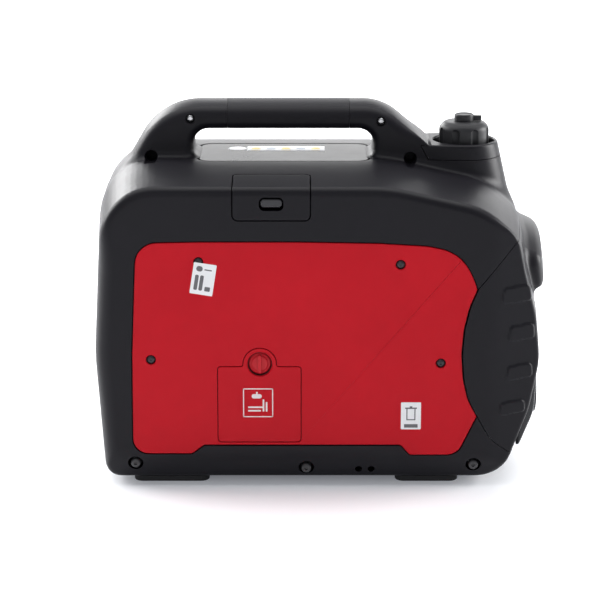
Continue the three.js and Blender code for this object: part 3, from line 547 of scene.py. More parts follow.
class CasingForm:
    """The outside of the casing, the room inside it and the end moulding, as signed distances."""

    def __init__(self):
        self.body, self.spine = Outline(BODY), Outline(SPINE)
        self.window, self.visor = Outline(HAND_WINDOW), Outline(VISOR)
        self.ribs = [Outline(self.rib_corners(*rib)) for rib in RIBS]

    @staticmethod
    def rib_corners(centre, wide, high):
        """A rib's outline, a little slanted, with round corners."""
        x, z = centre
        rise = 1.6
        return [(x - wide / 2, z - high / 2 - rise, 4), (x + wide / 2, z - high / 2 + rise, 4),
                (x + wide / 2 - 1, z + high / 2 + rise, 5), (x - wide / 2 + 3, z + high / 2 - rise, 5)]

    def hull(self, x, y, z):
        """The body without its handle."""
        u = np.abs(y)
        ramp = np.clip((u - 50) / 92, 0, 1.2) ** 1.35
        shift = ramp * ((7 + 6 * smooth(150, 70, z)) * smooth(40, 240, x) - 6 * smooth(-60, -240, x))
        side_view = self.body.at(x + shift, z + 12 * ramp * smooth(110, 300, z))
        edge = 8 + 12 * smooth(-190, -240, x) * (1 - smooth(240, 310, z)) - 3.5 * smooth(190, 235, x)
        form = both(side_view, u - SIDE_FACE, edge)
        keel = (u - SIDE_FACE) * math.cos(BOTTOM_TILT) - (z - BASE - 29) * math.sin(BOTTOM_TILT)
        nose = (x - FRONT + 67) * math.sin(FRONT_TILT) + (u - SIDE_FACE) * math.cos(FRONT_TILT)
        return crease(crease(form, keel, 4), nose, 3)

    def ridge(self, x, y, z):
        """The handle and the tower, one flat-sided spine."""
        u = np.abs(y)
        half = SPINE_HALF + (TOWER_HALF - SPINE_HALF) * smooth(70, NECK_X, x)
        ahead = np.maximum(x - NECK_X - 0.23 * np.clip(COLLAR_TOP - z, 0, 85), 0)
        plan = np.hypot(ahead * TOWER_HALF / TOWER_NOSE, u) - half
        arched = 1 - smooth(85, 120, x)
        crown = 8 * arched * np.clip(u / SPINE_HALF, 0, 1.3) ** 2
        form = both(self.spine.at(x, z + crown), plan, 2.5 + 6.5 * arched)
        return both(form, -self.window.at(x, z), 9)

    def outside(self, x, y, z):
        """The whole casing."""
        bow = (y / 96) ** 2
        hood = both(self.visor.at(x + 5 * bow - 2, z + 22 * bow + 2), np.abs(y) - 94, 12)
        return either(either(self.hull(x, y, z), self.ridge(x, y, z), 9), hood, 7)

    def ribbed(self, x, y, z):
        """The whole casing with the grip ribs on its end."""
        raised = sum(smooth(1.1, -1.1, rib.at(x, z)) for rib in self.ribs)
        return self.outside(x, y, z) - 1.5 * raised * smooth(100, 112, np.abs(y))

    def inside(self, x, y, z):
        """The room inside the walls."""
        form = both(self.hull(x, y, z) + 3.4, np.abs(y) - SIDE_FACE + 7, 4)
        return both(form, z - DECK + 11, 3)


FORM = CasingForm()


# ------------------------------------------------------------------ materials

class Channel:
    """A node's output that takes part in Python arithmetic."""

    def __init__(self, paint, socket):
        self.paint, self.socket = paint, socket

    def maths(self, operation, *values):
        return self.paint.node("ShaderNodeMath", {"operation": operation}, dict(enumerate(values)))

    def __add__(self, other):
        return self.maths("ADD", self, other)

    __radd__ = __add__

    def __mul__(self, other):
        return self.maths("MULTIPLY", self, other)

    __rmul__ = __mul__

    def __sub__(self, other):
        return self.maths("SUBTRACT", self, other)

    def __rsub__(self, other):
        return self.maths("SUBTRACT", other, self)

    def clamped(self):
        return self.maths("MINIMUM", self.maths("MAXIMUM", self, 0.0), 1.0)


class Paint:
    """A material with one shader, and the nodes that feed it."""

    def __init__(self, name, **constants):
        self.material = bpy.data.materials.new(name)
        self.material.use_nodes = True
        self.tree = self.material.node_tree
        self.shader = self.tree.nodes["Principled BSDF"]
        for socket, value in constants.items():
            self.set(socket.replace("_", " "), value)
        self.place = self.node("ShaderNodeTexCoord", {}, {}, "Object")

    def node(self, kind, settings=None, inputs=None, out=0):
        """A node of a kind: its settings first, then its sockets' values or links."""
        made = self.tree.nodes.new(kind)
        for key, value in (settings or {}).items():
            if key == "stops":
                made.color_ramp.elements[0].position, made.color_ramp.elements[1].position = value
            else:
                setattr(made, key, value)
        for key, value in (inputs or {}).items():
            if isinstance(value, Channel):
                self.tree.links.new(value.socket, made.inputs[key])
            else:
                made.inputs[key].default_value = value
        return Channel(self, made.outputs[out])

    def set(self, socket, value):
        """Sets or links one of the shader's sockets."""
        target = self.shader.inputs[socket]
        if isinstance(value, Channel):
            self.tree.links.new(value.socket, target)
        elif isinstance(target.default_value, float):
            target.default_value = value
        else:
            target.default_value = (*value, 1.0)[:len(target.default_value)]

    def noise(self, scale, detail=3.0, rough=0.55, out="Fac", where=None):
        """Soft noise, with scale in patterns a metre."""
        inputs = {"Vector": where or self.place, "Scale": scale, "Detail": detail, "Roughness": rough}
        return self.node("ShaderNodeTexNoise", {}, inputs, out)

    def cells(self, scale):
        """The distance to scattered points, for grain and pits."""
        return self.node("ShaderNodeTexVoronoi", {}, {"Vector": self.place, "Scale": scale}, "Distance")

    def blend(self, a, b, share):
        """Colour a turned into colour b."""
        a, b = ((*c, 1.0) if isinstance(c, (tuple, list)) else c for c in (a, b))
        return self.node("ShaderNodeMix", {"data_type": "RGBA"}, {0: share, 6: a, 7: b}, 2)

    def stretched(self, factors):
        """The place, scaled along each axis, for brushed and laminated patterns."""
        return self.node("ShaderNodeVectorMath", {"operation": "MULTIPLY"}, {0: self.place, 1: factors})

    def bump(self, height, strength, distance):
        """Feeds the shader's normal from a height."""
        inputs = {"Strength": strength, "Distance": distance, "Height": height}
        self.set("Normal", self.node("ShaderNodeBump", {}, inputs, "Normal"))


def moulded(name, colour, rough, grain=1300, depth=0.16, patch=0.05, coat=0.0, ior=1.33):
    """A moulded plastic: fine grain, soft wear patches and a slightly uneven gloss."""
    paint = Paint(name, Coat_Weight=coat, Coat_Roughness=0.2, IOR=ior)
    wear = paint.noise(9, 4, 0.6)
    dust = paint.noise(55, 5, 0.7)
    light = tuple(min(1.0, c * 1.22 + 0.003) for c in colour)
    dark = tuple(c * 0.86 for c in colour)
    paint.set("Base Color", paint.blend(dark, light, wear * 0.7 + dust * 0.3))
    paint.set("Roughness", (wear - 0.5) * patch * 2 + (dust - 0.5) * patch + rough)
    paint.bump(paint.noise(grain, 2, 0.5) * 0.6 + paint.cells(grain * 0.6) * 0.4, depth, 0.0002)
    return paint.material


def metal(name, colour, rough, direction=(1, 1, 1), scale=700, depth=0.12, stain=None, cast=False):
    """Bare metal: brushed along one direction, or cast and grainy, with faint stains."""
    paint = Paint(name, Metallic=1.0)
    streak = paint.noise(scale, 4, 0.6, where=paint.stretched(direction))
    patch = paint.noise(14, 4, 0.6)
    stain = stain or tuple(c * 0.7 for c in colour)
    paint.set("Base Color", paint.blend(colour, stain, (patch - 0.35) * 1.4 * (0.9 if cast else 0.5)))
    paint.set("Roughness", (streak - 0.5) * 0.18 + (patch - 0.5) * 0.12 + rough)
    paint.bump(streak * 0.6 + paint.cells(scale * 0.8) * 0.4 if cast else streak, depth, 0.0003)
    return paint.material


def laminated():
    """Copper windings on a stack of steel sheets."""
    paint = Paint("copper_windings", Metallic=0.85)
    turns = paint.noise(420, 2, 0.4, where=paint.stretched((1.0, 0.12, 0.12)))
    paint.set("Base Color", paint.blend((0.42, 0.13, 0.05), (0.75, 0.33, 0.14), turns))
    paint.set("Roughness", turns * 0.2 + 0.28)
    paint.bump(turns, 0.5, 0.0006)
    return paint.material


def braided():
    """A braided cord."""
    paint = Paint("braided_cord", Sheen_Weight=0.3, Roughness=0.85)
    weave = paint.cells(900)
    paint.set("Base Color", paint.blend((0.012, 0.012, 0.014), (0.06, 0.06, 0.065), weave))
    paint.bump(weave, 0.6, 0.0004)
    return paint.material


def printed(name, colour, rough=0.45):
    """A printed film or ink, with a faint mottle."""
    paint = Paint(name)
    mottle = paint.noise(240, 4, 0.6)
    paint.set("Base Color", paint.blend(tuple(c * 0.93 for c in colour), colour, mottle))
    paint.set("Roughness", mottle * 0.12 + rough)
    paint.bump(mottle, 0.05, 0.0001)
    return paint.material


def lit_lens():
    """A clear tinted lens over an unlit lamp."""
    paint = Paint("lamp_lens", Coat_Weight=0.6, Coat_Roughness=0.05)
    depth = paint.noise(180, 2, 0.5)
    paint.set("Base Color", paint.blend((0.03, 0.32, 0.07), (0.08, 0.55, 0.14), depth))
    paint.set("Roughness", depth * 0.1 + 0.08)
    return paint.material


FINISHES = {}


def finish(name):
    """A finish by name, made the first time it is asked for."""
    if name not in FINISHES:
        user = bpy.context.scene.generator
        makers = {
            "casing": lambda: moulded("satin_casing_plastic", user.casing_colour, user.casing_roughness, ior=1.27),
            "grip": lambda: moulded("grip_sleeve_plastic", user.casing_colour, 0.5, 1000, 0.3, ior=1.27),
            "panel": lambda: moulded("red_panel_plastic", user.panel_colour, 0.3, 900, 0.07, 0.04, ior=1.2),
            "knob": lambda: moulded("red_knob_plastic", user.panel_colour, 0.34, 1100, 0.1),
            "gloss": lambda: moulded("gloss_black_plastic", (0.02, 0.02, 0.023), 0.18, 700, 0.03, 0.05, 0.3),
            "deck": lambda: moulded("deck_plate_plastic", (0.015, 0.015, 0.016), 0.25, 800, 0.05, 0.06, ior=1.12),
            "dark": lambda: moulded("recess_plastic", (0.008, 0.008, 0.009), 0.6, 900, 0.2),
            "rubber": lambda: moulded("moulded_rubber", (0.018, 0.018, 0.019), 0.72, 800, 0.45, 0.08),
            "cap": lambda: moulded("filler_cap_plastic", (0.02, 0.02, 0.022), 0.42, 1000, 0.25, 0.07),
            "tank": lambda: moulded("tank_plastic", (0.03, 0.03, 0.032), 0.34, 500, 0.15, 0.08),
            "dark_steel": lambda: moulded("blackened_steel", (0.035, 0.035, 0.037), 0.35, 600, 0.1, 0.08, ior=1.45),
            "steel": lambda: metal("zinc_plated_steel", (0.62, 0.62, 0.63), 0.26, (1, 0.2, 1)),
            "muffler": lambda: metal("heated_steel_sheet", (0.42, 0.4, 0.38), 0.42, (1, 1, 0.3), 300, 0.2,
                                     (0.3, 0.19, 0.11)),
            "alloy": lambda: metal("cast_alloy", (0.5, 0.51, 0.52), 0.48, (1, 1, 1), 500, 0.35, None, True),
            "iron": lambda: metal("turned_steel", (0.33, 0.33, 0.34), 0.34, (0.1, 1, 1), 400, 0.15),
            "copper": laminated,
            "ceramic": lambda: moulded("glazed_insulator", (0.82, 0.81, 0.77), 0.14, 500, 0.03, 0.03, 0.4),
            "cord": braided,
            "lens": lit_lens,
            "label": lambda: printed("label_film", (0.84, 0.85, 0.86)),
            "ink": lambda: printed("label_ink", (0.12, 0.12, 0.13)),
            "amber": lambda: printed("label_amber_ink", (0.8, 0.62, 0.16)),
            "grey": lambda: printed("label_grey_ink", (0.46, 0.5, 0.58)),
            "print": lambda: printed("panel_print", (0.78, 0.72, 0.72)),
        }
        FINISHES[name] = makers[name]()
    return FINISHES[name]


# ------------------------------------------------------------------ sizes a user would change

class GeneratorSettings(PropertyGroup):
    """The generator's own sizes and colours."""

    casing_colour: FloatVectorProperty(
        name="Casing Colour", description="Colour of the black mouldings", subtype="COLOR", size=3,
        min=0.0, max=1.0, default=(0.0052, 0.0047, 0.0072))
    casing_roughness: FloatProperty(
        name="Casing Roughness", description="How matt the black mouldings are", subtype="FACTOR",
        min=0.05, max=1.0, default=0.4)
    panel_colour: FloatVectorProperty(
        name="Panel Colour", description="Colour of the side panels and the hatch", subtype="COLOR", size=3,
        min=0.0, max=1.0, default=(0.46, 0.004, 0.012))
    seam: FloatProperty(
        name="Seam", description="Width of the gaps between mouldings, in millimetres", default=0.7,
        min=0.2, max=2.0)
    panel_gap: FloatProperty(
        name="Panel Gap", description="Width of the gap round the red panels, in millimetres", default=1.0,
        min=0.3, max=3.0)
    surface_step: FloatProperty(
        name="Surface Step", description="Spacing of the casing's mesh, in millimetres", default=3.0,
        min=2.0, max=6.0)


def user():
    return bpy.context.scene.generator


# ------------------------------------------------------------------ places on the casing

PANEL_SCREWS = [(middle(f"panel_screw_{i}")[0], middle(f"panel_screw_{i}")[2]) for i in (1, 2, 3, 4)]
HANDLE_SCREWS = [(middle(f"handle_screw_{i}")[0], middle(f"handle_screw_{i}")[2]) for i in (1, 2)]
LEG_HOLES = [(REAR + 67, DECK + 2), (FRONT - 154, DECK)]
BOTTOM_HOLES = [(REAR + 51, BASE + 19), (-15, BASE + 13), (FRONT - 85, BASE + 17)]
DRAIN_HOLES = [(43, BASE + 10.5), (57, BASE + 10.5)]
KNOB = (middle("service_door_knob")[0], middle("service_door_knob")[2])
HATCH_LOW, HATCH_HIGH = span("service_door")
HATCH = [
    (HATCH_LOW[0], HATCH_LOW[2], 4), (HATCH_HIGH[0], HATCH_LOW[2], 4), (HATCH_HIGH[0], KNOB[1] - 3, 3),
    (KNOB[0] + 18.2, KNOB[1] - 3, 3), (KNOB[0] + 18.2, HATCH_HIGH[2], 17.9),
    (KNOB[0] - 18.2, HATCH_HIGH[2], 17.9), (KNOB[0] - 18.2, KNOB[1] - 3, 3), (HATCH_LOW[0], KNOB[1] - 3, 3),
]
PLUG_LOW, PLUG_HIGH = span("plug_cover")
LATCH = middle("plug_cover_latch")
BOX_LOW, BOX_HIGH = (REAR - 9, -SIDE - 9, BASE - 9), (FRONT + 9, SIDE + 9, TOP + 9)


def rod(axis, centre, radius, low, high, steps=32):
    """A plain round tool."""
    return lathe("tool", axis, centre, [(0, low), (radius, low), (radius, high), (0, high)], steps)


def room(name="room"):
    """The room inside the casing's walls, as a tool."""
    return grown(name, FORM.inside, BOX_LOW, BOX_HIGH, 6.0, 1)


def plug_opening(margin):
    """The opening of the spark plug's cover, grown by a margin, as a tool."""
    low, high = PLUG_LOW - margin, PLUG_HIGH + margin
    across = block("tool", "Y", rectangle((low[0], low[2]), (high[0], DECK + 20), 6 + margin), -SIDE - 8, high[1])
    plan = block("tool", "Z", rectangle((low[0], -SIDE - 20), (high[0], high[1]), 5 + margin), low[2] - 5, DECK + 30)
    return combine(across, [plan], "INTERSECT")


def shell_half():
    """The casing's left half with the cuts that both halves have."""
    step, seam = user().surface_step, user().seam
    made = grown("left_shell", lambda x, y, z: np.maximum(FORM.outside(x, y, z), y - 6),
                 BOX_LOW, (BOX_HIGH[0], 9, BOX_HIGH[2]), step)
    deck_low, deck_high = span("deck_plate")
    grip_low, grip_high = span("handle_grip")
    grille_low, grille_high = span("rear_grille")
    tray_low, tray_high = span("base_tray")
    mouth = -SIDE_FACE - 0.15
    collar = [(FRONT - 143, COLLAR_TOP + seam / 2, 0.3), (FRONT - 134.6, COLLAR_BASE - seam, 2),
              (FRONT + 20, COLLAR_BASE - seam, 1), (FRONT + 20, TOP, 1), (FRONT - 131, TOP, 1),
              (FRONT - 131, COLLAR_TOP + seam / 2, 0.2)]
    tools = [
        block("tool", "Y", rectangle((REAR - 20, -20), (FRONT + 20, TOP + 20), 1), -0.15, 40),
        block("tool", "Y", inset(RED_PANEL, -user().panel_gap), mouth, -PANEL_FACE + 4.4, 0, -1.0, 4),
        block("tool", "Y", inset(END_REGION, -seam / 2), mouth, 20, 0, -0.7),
        block("tool", "Y", collar, -90, 20),
        block("tool", "Y", rectangle((grip_low[0] - 0.3, WINDOW_TOP - 14), (grip_high[0] + 0.3, TOP + 20), 0.4),
              -90, 20),
        block("tool", "Z", rectangle(deck_low[:2] - 0.6, deck_high[:2] + 0.6, 16.6), DECK - 5, DECK + 0.15, -0.9),
        block("tool", "X", rectangle(grille_low[1:] - 0.8, grille_high[1:] + 0.8, 12), REAR - 20, REAR + 24),
        block("tool", "Z", rectangle(tray_low[:2] - 1, tray_high[:2] + 1, 2), BASE - 6, BASE + 8),
        rod("Z", (NECK_X, 0), 23, DECK - 40, COLLAR_BASE + 6),
        *[lathe("tool", "Y", at, soft_profile([(0, -60, 0), (7.4, -60, 0), (7.4, -SPINE_HALF - 0.4, 0),
                                               (6.2, -SPINE_HALF + 1.4, 1), (6.2, -10, 0), (0, -10, 0)]), 40)
          for at in LEG_HOLES],
        *[rod("Y", at, 5.6, -60, -SPINE_HALF + 5, 36) for at in HANDLE_SCREWS],
        *[rod("Y", at, 8.6, -SIDE - 5, -SIDE + 25, 40) for at in BOTTOM_HOLES],
        *[rod("Y", at, 4, -SIDE - 5, -SIDE + 24) for at in DRAIN_HOLES],
    ]
    return combine(combine(made, [room()]), tools)


def shells():
    """The two halves of the casing."""
    left = shell_half()
    right = copied(left, "right_shell", mirror=True)
    hatch = block("tool", "Y", inset(HATCH, 3), -SIDE, -SIDE + 40)
    combine(left, [plug_opening(0.9), hatch])
    starter_low, starter_high = span("recoil_grip")
    low, high = starter_low - 12, starter_high + 12
    pocket = block("tool", "Y", rectangle((low[0], low[2] - 4), (high[0], high[2] + 4), 20), SIDE - 30, SIDE)
    dial = middle("engine_switch")
    combine(right, [pocket, rod("Y", (dial[0], dial[2]), 27, SIDE - 30, SIDE)])
    for made, node in ((left, "side_shell_left"), (right, "side_shell_right")):
        finished(made, "casing", finish("casing"), [node], 30)
        follow(made, FORM.outside)
    return left, right


def end_moulding():
    """The end of the casing, with the grip ribs, the hood and the frame of the control panel."""
    face_low, face_high = span("control_panel")
    edge = FRONT - 104
    made = grown("end_moulding", lambda x, y, z: np.maximum(FORM.ribbed(x, y, z), edge - x),
                 (edge - 5, BOX_LOW[1], BASE - 4), (BOX_HIGH[0], BOX_HIGH[1], DECK - 45), 1.9)
    combine(made, [block("tool", "Y", inset(END_REGION, user().seam / 2), -SIDE - 12, SIDE + 12)], "INTERSECT")
    slots = [block("tool", "X", rectangle((s * 106 - 2.5, DECK - 92), (s * 106 + 2.5, DECK - 79), 1.5),
                   FRONT - 60, FRONT + 5) for s in (-1, 1)]
    combine(made, [room(), block("tool", "X", rectangle(face_low[1:] - 0.6, face_high[1:] + 0.6, 12.6),
                                 FRONT - 60, FRONT + 10), *slots])
    finished(made, "casing", finish("casing"), ["end_cover"], 30)
    return follow(made, FORM.ribbed, 0.3)


def collar():
    """The filler's collar: its bowl, its rim and its flat land behind."""
    seam = user().seam
    made = grown("filler_tower_collar", lambda x, y, z: np.maximum(FORM.outside(x, y, z), DECK - 25 - z),
                 (FRONT - 150, -50, DECK - 30), (FRONT - 5, 50, COLLAR_TOP + 8), 2.0)
    region = [(FRONT - 142, COLLAR_TOP - seam / 2, 0.3), (FRONT - 134, COLLAR_BASE, 2), (FRONT + 20, COLLAR_BASE, 1),
              (FRONT + 20, TOP, 1), (FRONT - 130.5, TOP, 1), (FRONT - 130.5, COLLAR_TOP - seam / 2, 0.2)]
    combine(made, [block("tool", "Y", region, -80, 80)], "INTERSECT")
    floor = COLLAR_TOP - 15
    bowl = soft_profile([
        (0, DECK - 60, 0), (22.6, DECK - 60, 0), (22.6, floor, 1), (30, floor - 0.4, 2), (34.2, floor + 3, 3),
        (34.6, COLLAR_TOP - 1.6, 1.5), (35.8, COLLAR_TOP + 0.05, 0), (35.8, COLLAR_TOP + 9, 0),
        (0, COLLAR_TOP + 9, 0)], 5)
    combine(made, [lathe("tool", "Z", (NECK_X, 0), bowl, 96)])
    finished(made, "casing", finish("casing"), ["filler_collar"], 30)
    return follow(made, FORM.outside)


def grip_sleeve():
    """The sleeve of the handle's bar."""
    low, high = span("handle_grip")
    ends = (low[0] - 8, high[0] + 8)
    made = grown("grip_sleeve", lambda x, y, z: np.maximum(FORM.ridge(x, y, z), np.maximum(ends[0] - x, x - ends[1])),
                 (low[0] - 12, -45, WINDOW_TOP - 8), (high[0] + 12, 45, TOP + 8), 2.2)
    combine(made, [block("tool", "Y", rectangle((low[0], WINDOW_TOP - 20), (high[0], TOP + 20), 0.3), -80, 80)],
            "INTERSECT")
    finished(made, "casing", finish("grip"), ["handle_grip"], 30)
    return follow(made, FORM.ridge)


def plug_cover():
    """The spark plug's cover, rounded at its edges, with the slot of its latch."""
    outline = Outline(rectangle((PLUG_LOW[0], PLUG_LOW[2]), (PLUG_HIGH[0], DECK + 40), 6))

    def cover(x, y, z):
        region = both(outline.at(x, z), y - PLUG_HIGH[1], 5)
        return both(both(FORM.outside(x, y, z), region, 1.3), -FORM.hull(x, y, z) - 4, 0.8)

    made = grown("plug_lid", cover, (PLUG_LOW[0] - 4, -SIDE - 4, PLUG_LOW[2] - 4),
                 (PLUG_HIGH[0] + 4, PLUG_HIGH[1] + 4, DECK + 4), 1.25, 3)
    slot = rectangle((LATCH[0] - 13, LATCH[2] - 8.5), (LATCH[0] + 13, LATCH[2] + 6), 5.5)
    combine(made, [block("tool", "Y", slot, -SIDE_FACE - 0.15, -SIDE + 14, 0, -1.2, 4)])
    finished(made, "plug_cover", finish("casing"), ["plug_cover"], 40)
    follow(made, cover, 0.3, 0.6)
    low, high = span("plug_cover_latch")
    latch = block("plug_lid_latch", "Y", rectangle(low[::2] + (0, 0), high[::2] - (0, 1), 4), low[1], high[1], 0, 1.6)
    finished(latch, "plug_latch", finish("gloss"), ["plug_cover_latch"])
    return made


def rear_grille():
    """The louvred vent at the rear, with the boss round the exhaust."""
    low, high = span("rear_grille")
    made = grown("rear_vent", lambda x, y, z: np.maximum(FORM.hull(x, y, z), x - REAR - 22),
                 (REAR - 6, low[1] - 12, low[2] - 14), (REAR + 28, high[1] + 12, high[2] + 14), 3.0)
    region = block("tool", "X", rectangle(low[1:], high[1:], 12), REAR - 20, REAR + 13)
    combine(made, [region], "INTERSECT")
    count, pitch = 9, 20.0
    first = (low[2] + high[2]) / 2 - pitch * (count - 1) / 2
    tools = []
    for k in range(count):
        z = first + k * pitch
        for a, b in ((low[1] + 12, -4), (4, high[1] - 12)):
            tools.append(block("tool", "X", rectangle((a, z - 4.5), (b, z + 4.5), 4.4), REAR - 20, REAR + 40))
    combine(made, tools)
    outlet = middle("exhaust_outlet")
    at = (outlet[1], outlet[2])
    outer = REAR + END_MARGIN
    boss = lathe("tool", "X", at, soft_profile([
        (0, REAR + 13, 0), (25, REAR + 13, 0), (25, outer, 2), (0, outer, 0)]), 64)
    combine(combine(made, [boss], "UNION"), [rod("X", at, 18, REAR - 9, REAR + 40, 64)])
    return finished(made, "casing", finish("casing"), ["rear_grille"])


def deck_inlay():
    """The smooth plate under the handle."""
    low, high = span("deck_plate")
    outline = rectangle(low[:2] + 0.9, high[:2] - 0.9, 15.1)
    made = block("deck_inlay", "Z", outline, low[2], high[2] - 0.2, 1.6, 0, 5, 20)
    return finished(made, "casing", finish("deck"), ["deck_plate"])


# ------------------------------------------------------------------ red panels, hatch and screws

def recess_screws():
    """The screw heads in the round recesses along the foot of both sides."""
    for sign, side in ((-1, "left"), (1, "right")):
        heads = []
        for at in BOTTOM_HOLES:
            crown = -SIDE + 4.5
            head = lathe("head", "Y", at, soft_profile([
                (0, crown, 0), (4.6, crown + 0.5, 1.5), (5.6, crown + 3, 0.4), (5.6, crown + 16, 0),
                (0, crown + 16, 0)], 5), 40)
            socket = [(*p, 0.1) for p in circle(at, 2.2, 6)]
            heads.append(combine(head, [block("tool", "Y", socket, crown - 2, crown + 2.2, 0, 0, 1, 1)]))
        made = joined(f"recess_screws_{side}", heads)
        if sign > 0:
            made.data.transform(Matrix.Scale(-1, 4, (0, 1, 0)))
            made.data.flip_normals()
        finished(made, "casing", finish("dark_steel"), [])


def red_panels():
    """The two red panels; the left one holds the hatch, the right one the starter."""
    back = span("side_panel_left")[1][1]
    left = block("red_panel_left", "Y", RED_PANEL, -PANEL_FACE, back, 0, 0.9, 5)
    cups = [lathe("tool", "Y", at, soft_profile([(0, -SIDE, 0), (6.2, -SIDE, 0), (6.0, -PANEL_FACE - 0.02, 0),
                                                 (5.3, -PANEL_FACE + 0.8, 0.6), (5.3, back + 4, 0),
                                                 (0, back + 4, 0)]), 40) for at in PANEL_SCREWS]
    combine(left, [block("tool", "Y", inset(HATCH, -0.7), -PANEL_FACE - 0.1, back + 5, 0, -0.5), *cups])
    level(finished(left, "casing", finish("panel"), ["side_panel_left"]), -PANEL_FACE)
    right = block("red_panel_right", "Y", RED_PANEL, -back, PANEL_FACE, 0.9, 0, 5)
    grip_low, grip_high = span("recoil_grip")
    room_low, room_high = (grip_low[0] - 10, grip_low[2] - 14), (grip_high[0] + 10, grip_high[2] + 14)
    floor = PANEL_FACE - 24
    dish = block("tool", "Y", rectangle(room_low, room_high, 20), floor, PANEL_FACE - 0.3, 0, 3)
    dial = middle("engine_switch")[::2]
    ring = lathe("tool", "Y", dial, soft_profile([
        (0, PANEL_FACE - 10, 0), (25.5, PANEL_FACE - 10, 0), (25.5, PANEL_FACE - 0.2, 0), (0, PANEL_FACE - 0.2, 0)]))
    combine(right, [dish, ring], "UNION")
    hollow = block("tool", "Y", rectangle([c + 2.4 for c in room_low], [c - 2.4 for c in room_high], 17.6),
                   floor + 2.4, PANEL_FACE + 0.1, -1.2, 4, 5)
    rope = middle("recoil_grip")[::2]
    slots = [block("tool", "Y",
                   rectangle((REAR + 75 + i * 13, PANEL_TOP - 84), (REAR + 81 + i * 13, PANEL_TOP - 44), 2.9),
                   -back - 1, PANEL_FACE + 0.1, -0.5) for i in range(7)]
    combine(right, [hollow, rod("Y", dial, 22.4, PANEL_FACE - 8, PANEL_FACE + 1, 64),
                    rod("Y", dial, 6, SIDE - 30, SIDE), rod("Y", rope, 5.2, floor - 5, SIDE), *slots])
    return level(finished(right, "casing", finish("panel"), ["side_panel_right"]), PANEL_FACE)


def hatch():
    """The service hatch and its quarter-turn knob, with the knob's seat."""
    back = span("service_door")[1][1]
    made = block("service_hatch", "Y", inset(HATCH, 0.1), -PANEL_FACE, back, 0, 0.6, 5)
    cup = soft_profile([(0, -SIDE, 0), (14.6, -SIDE, 0), (14.4, -PANEL_FACE - 0.02, 0), (13.3, -PANEL_FACE + 1, 0.8),
                        (13.3, back + 4, 0), (0, back + 4, 0)])
    combine(made, [lathe("tool", "Y", KNOB, cup, 56)])
    finished(made, "service_door", finish("panel"), ["service_door"])
    low, high = span("service_door_knob")
    knob = lathe("hatch_knob", "Y", KNOB, soft_profile([
        (0, high[1], 0), (12.4, high[1], 0), (12.4, low[1] + 5.5, 0.8), (11.2, low[1] + 4.4, 0.8),
        (9.5, low[1] + 4.2, 1), (8.2, low[1] + 3, 1), (0, low[1] + 2.8, 0)]), 56)
    bar = block("tool", "Y", rectangle((KNOB[0] - 2.2, KNOB[1] - 10.3), (KNOB[0] + 2.2, KNOB[1] + 10.3), 2.1),
                low[1], low[1] + 6, 0, 0.9)
    combine(knob, [bar], "UNION")
    finished(knob, "door_knob", finish("knob"), ["service_door_knob"])
    back_ring = lathe("hatch_knob_seat", "Y", KNOB, [
        (12.7, back - 0.4), (13.2, back - 0.4), (13.2, back + 2.6), (12.7, back + 2.6), (12.7, back - 0.4)], 56)
    return finished(back_ring, "service_door", finish("dark"), [])


def button_head(name, at, crown, radius, high, reach, socket, material, node, body="casing"):
    """A round-headed screw with a six-sided socket, pointing along +Y."""
    made = lathe(name, "Y", at, soft_profile([
        (0, crown, 0), (radius * 0.55, crown + high * 0.06, radius * 0.3), (radius, crown + high * 0.62, 0.4),
        (radius, crown + high, 0), (radius * 0.5, crown + high, 0), (radius * 0.5, crown + reach, 0.3),
        (0, crown + reach, 0)], 6), 40)
    corners = [(*p, 0.1) for p in circle(at, socket, 6)]
    combine(made, [block("tool", "Y", corners, crown - 2, crown + high * 0.62, 0, 0, 1, 1)])
    return finished(made, body, finish(material), [node])


def screws():
    """The panel screws and the handle screws."""
    for i, at in enumerate(PANEL_SCREWS, 1):
        button_head(f"panel_bolt_{i}", at, -PANEL_FACE + 0.5, 4.6, 2.4, 10, 1.9, "gloss", f"panel_screw_{i}")
    for i, at in enumerate(HANDLE_SCREWS, 1):
        button_head(f"handle_bolt_{i}", at, -SPINE_HALF + 1.0, 4.1, 3.0, 14, 2.1, "steel", f"handle_screw_{i}")


# ------------------------------------------------------------------ filler cap

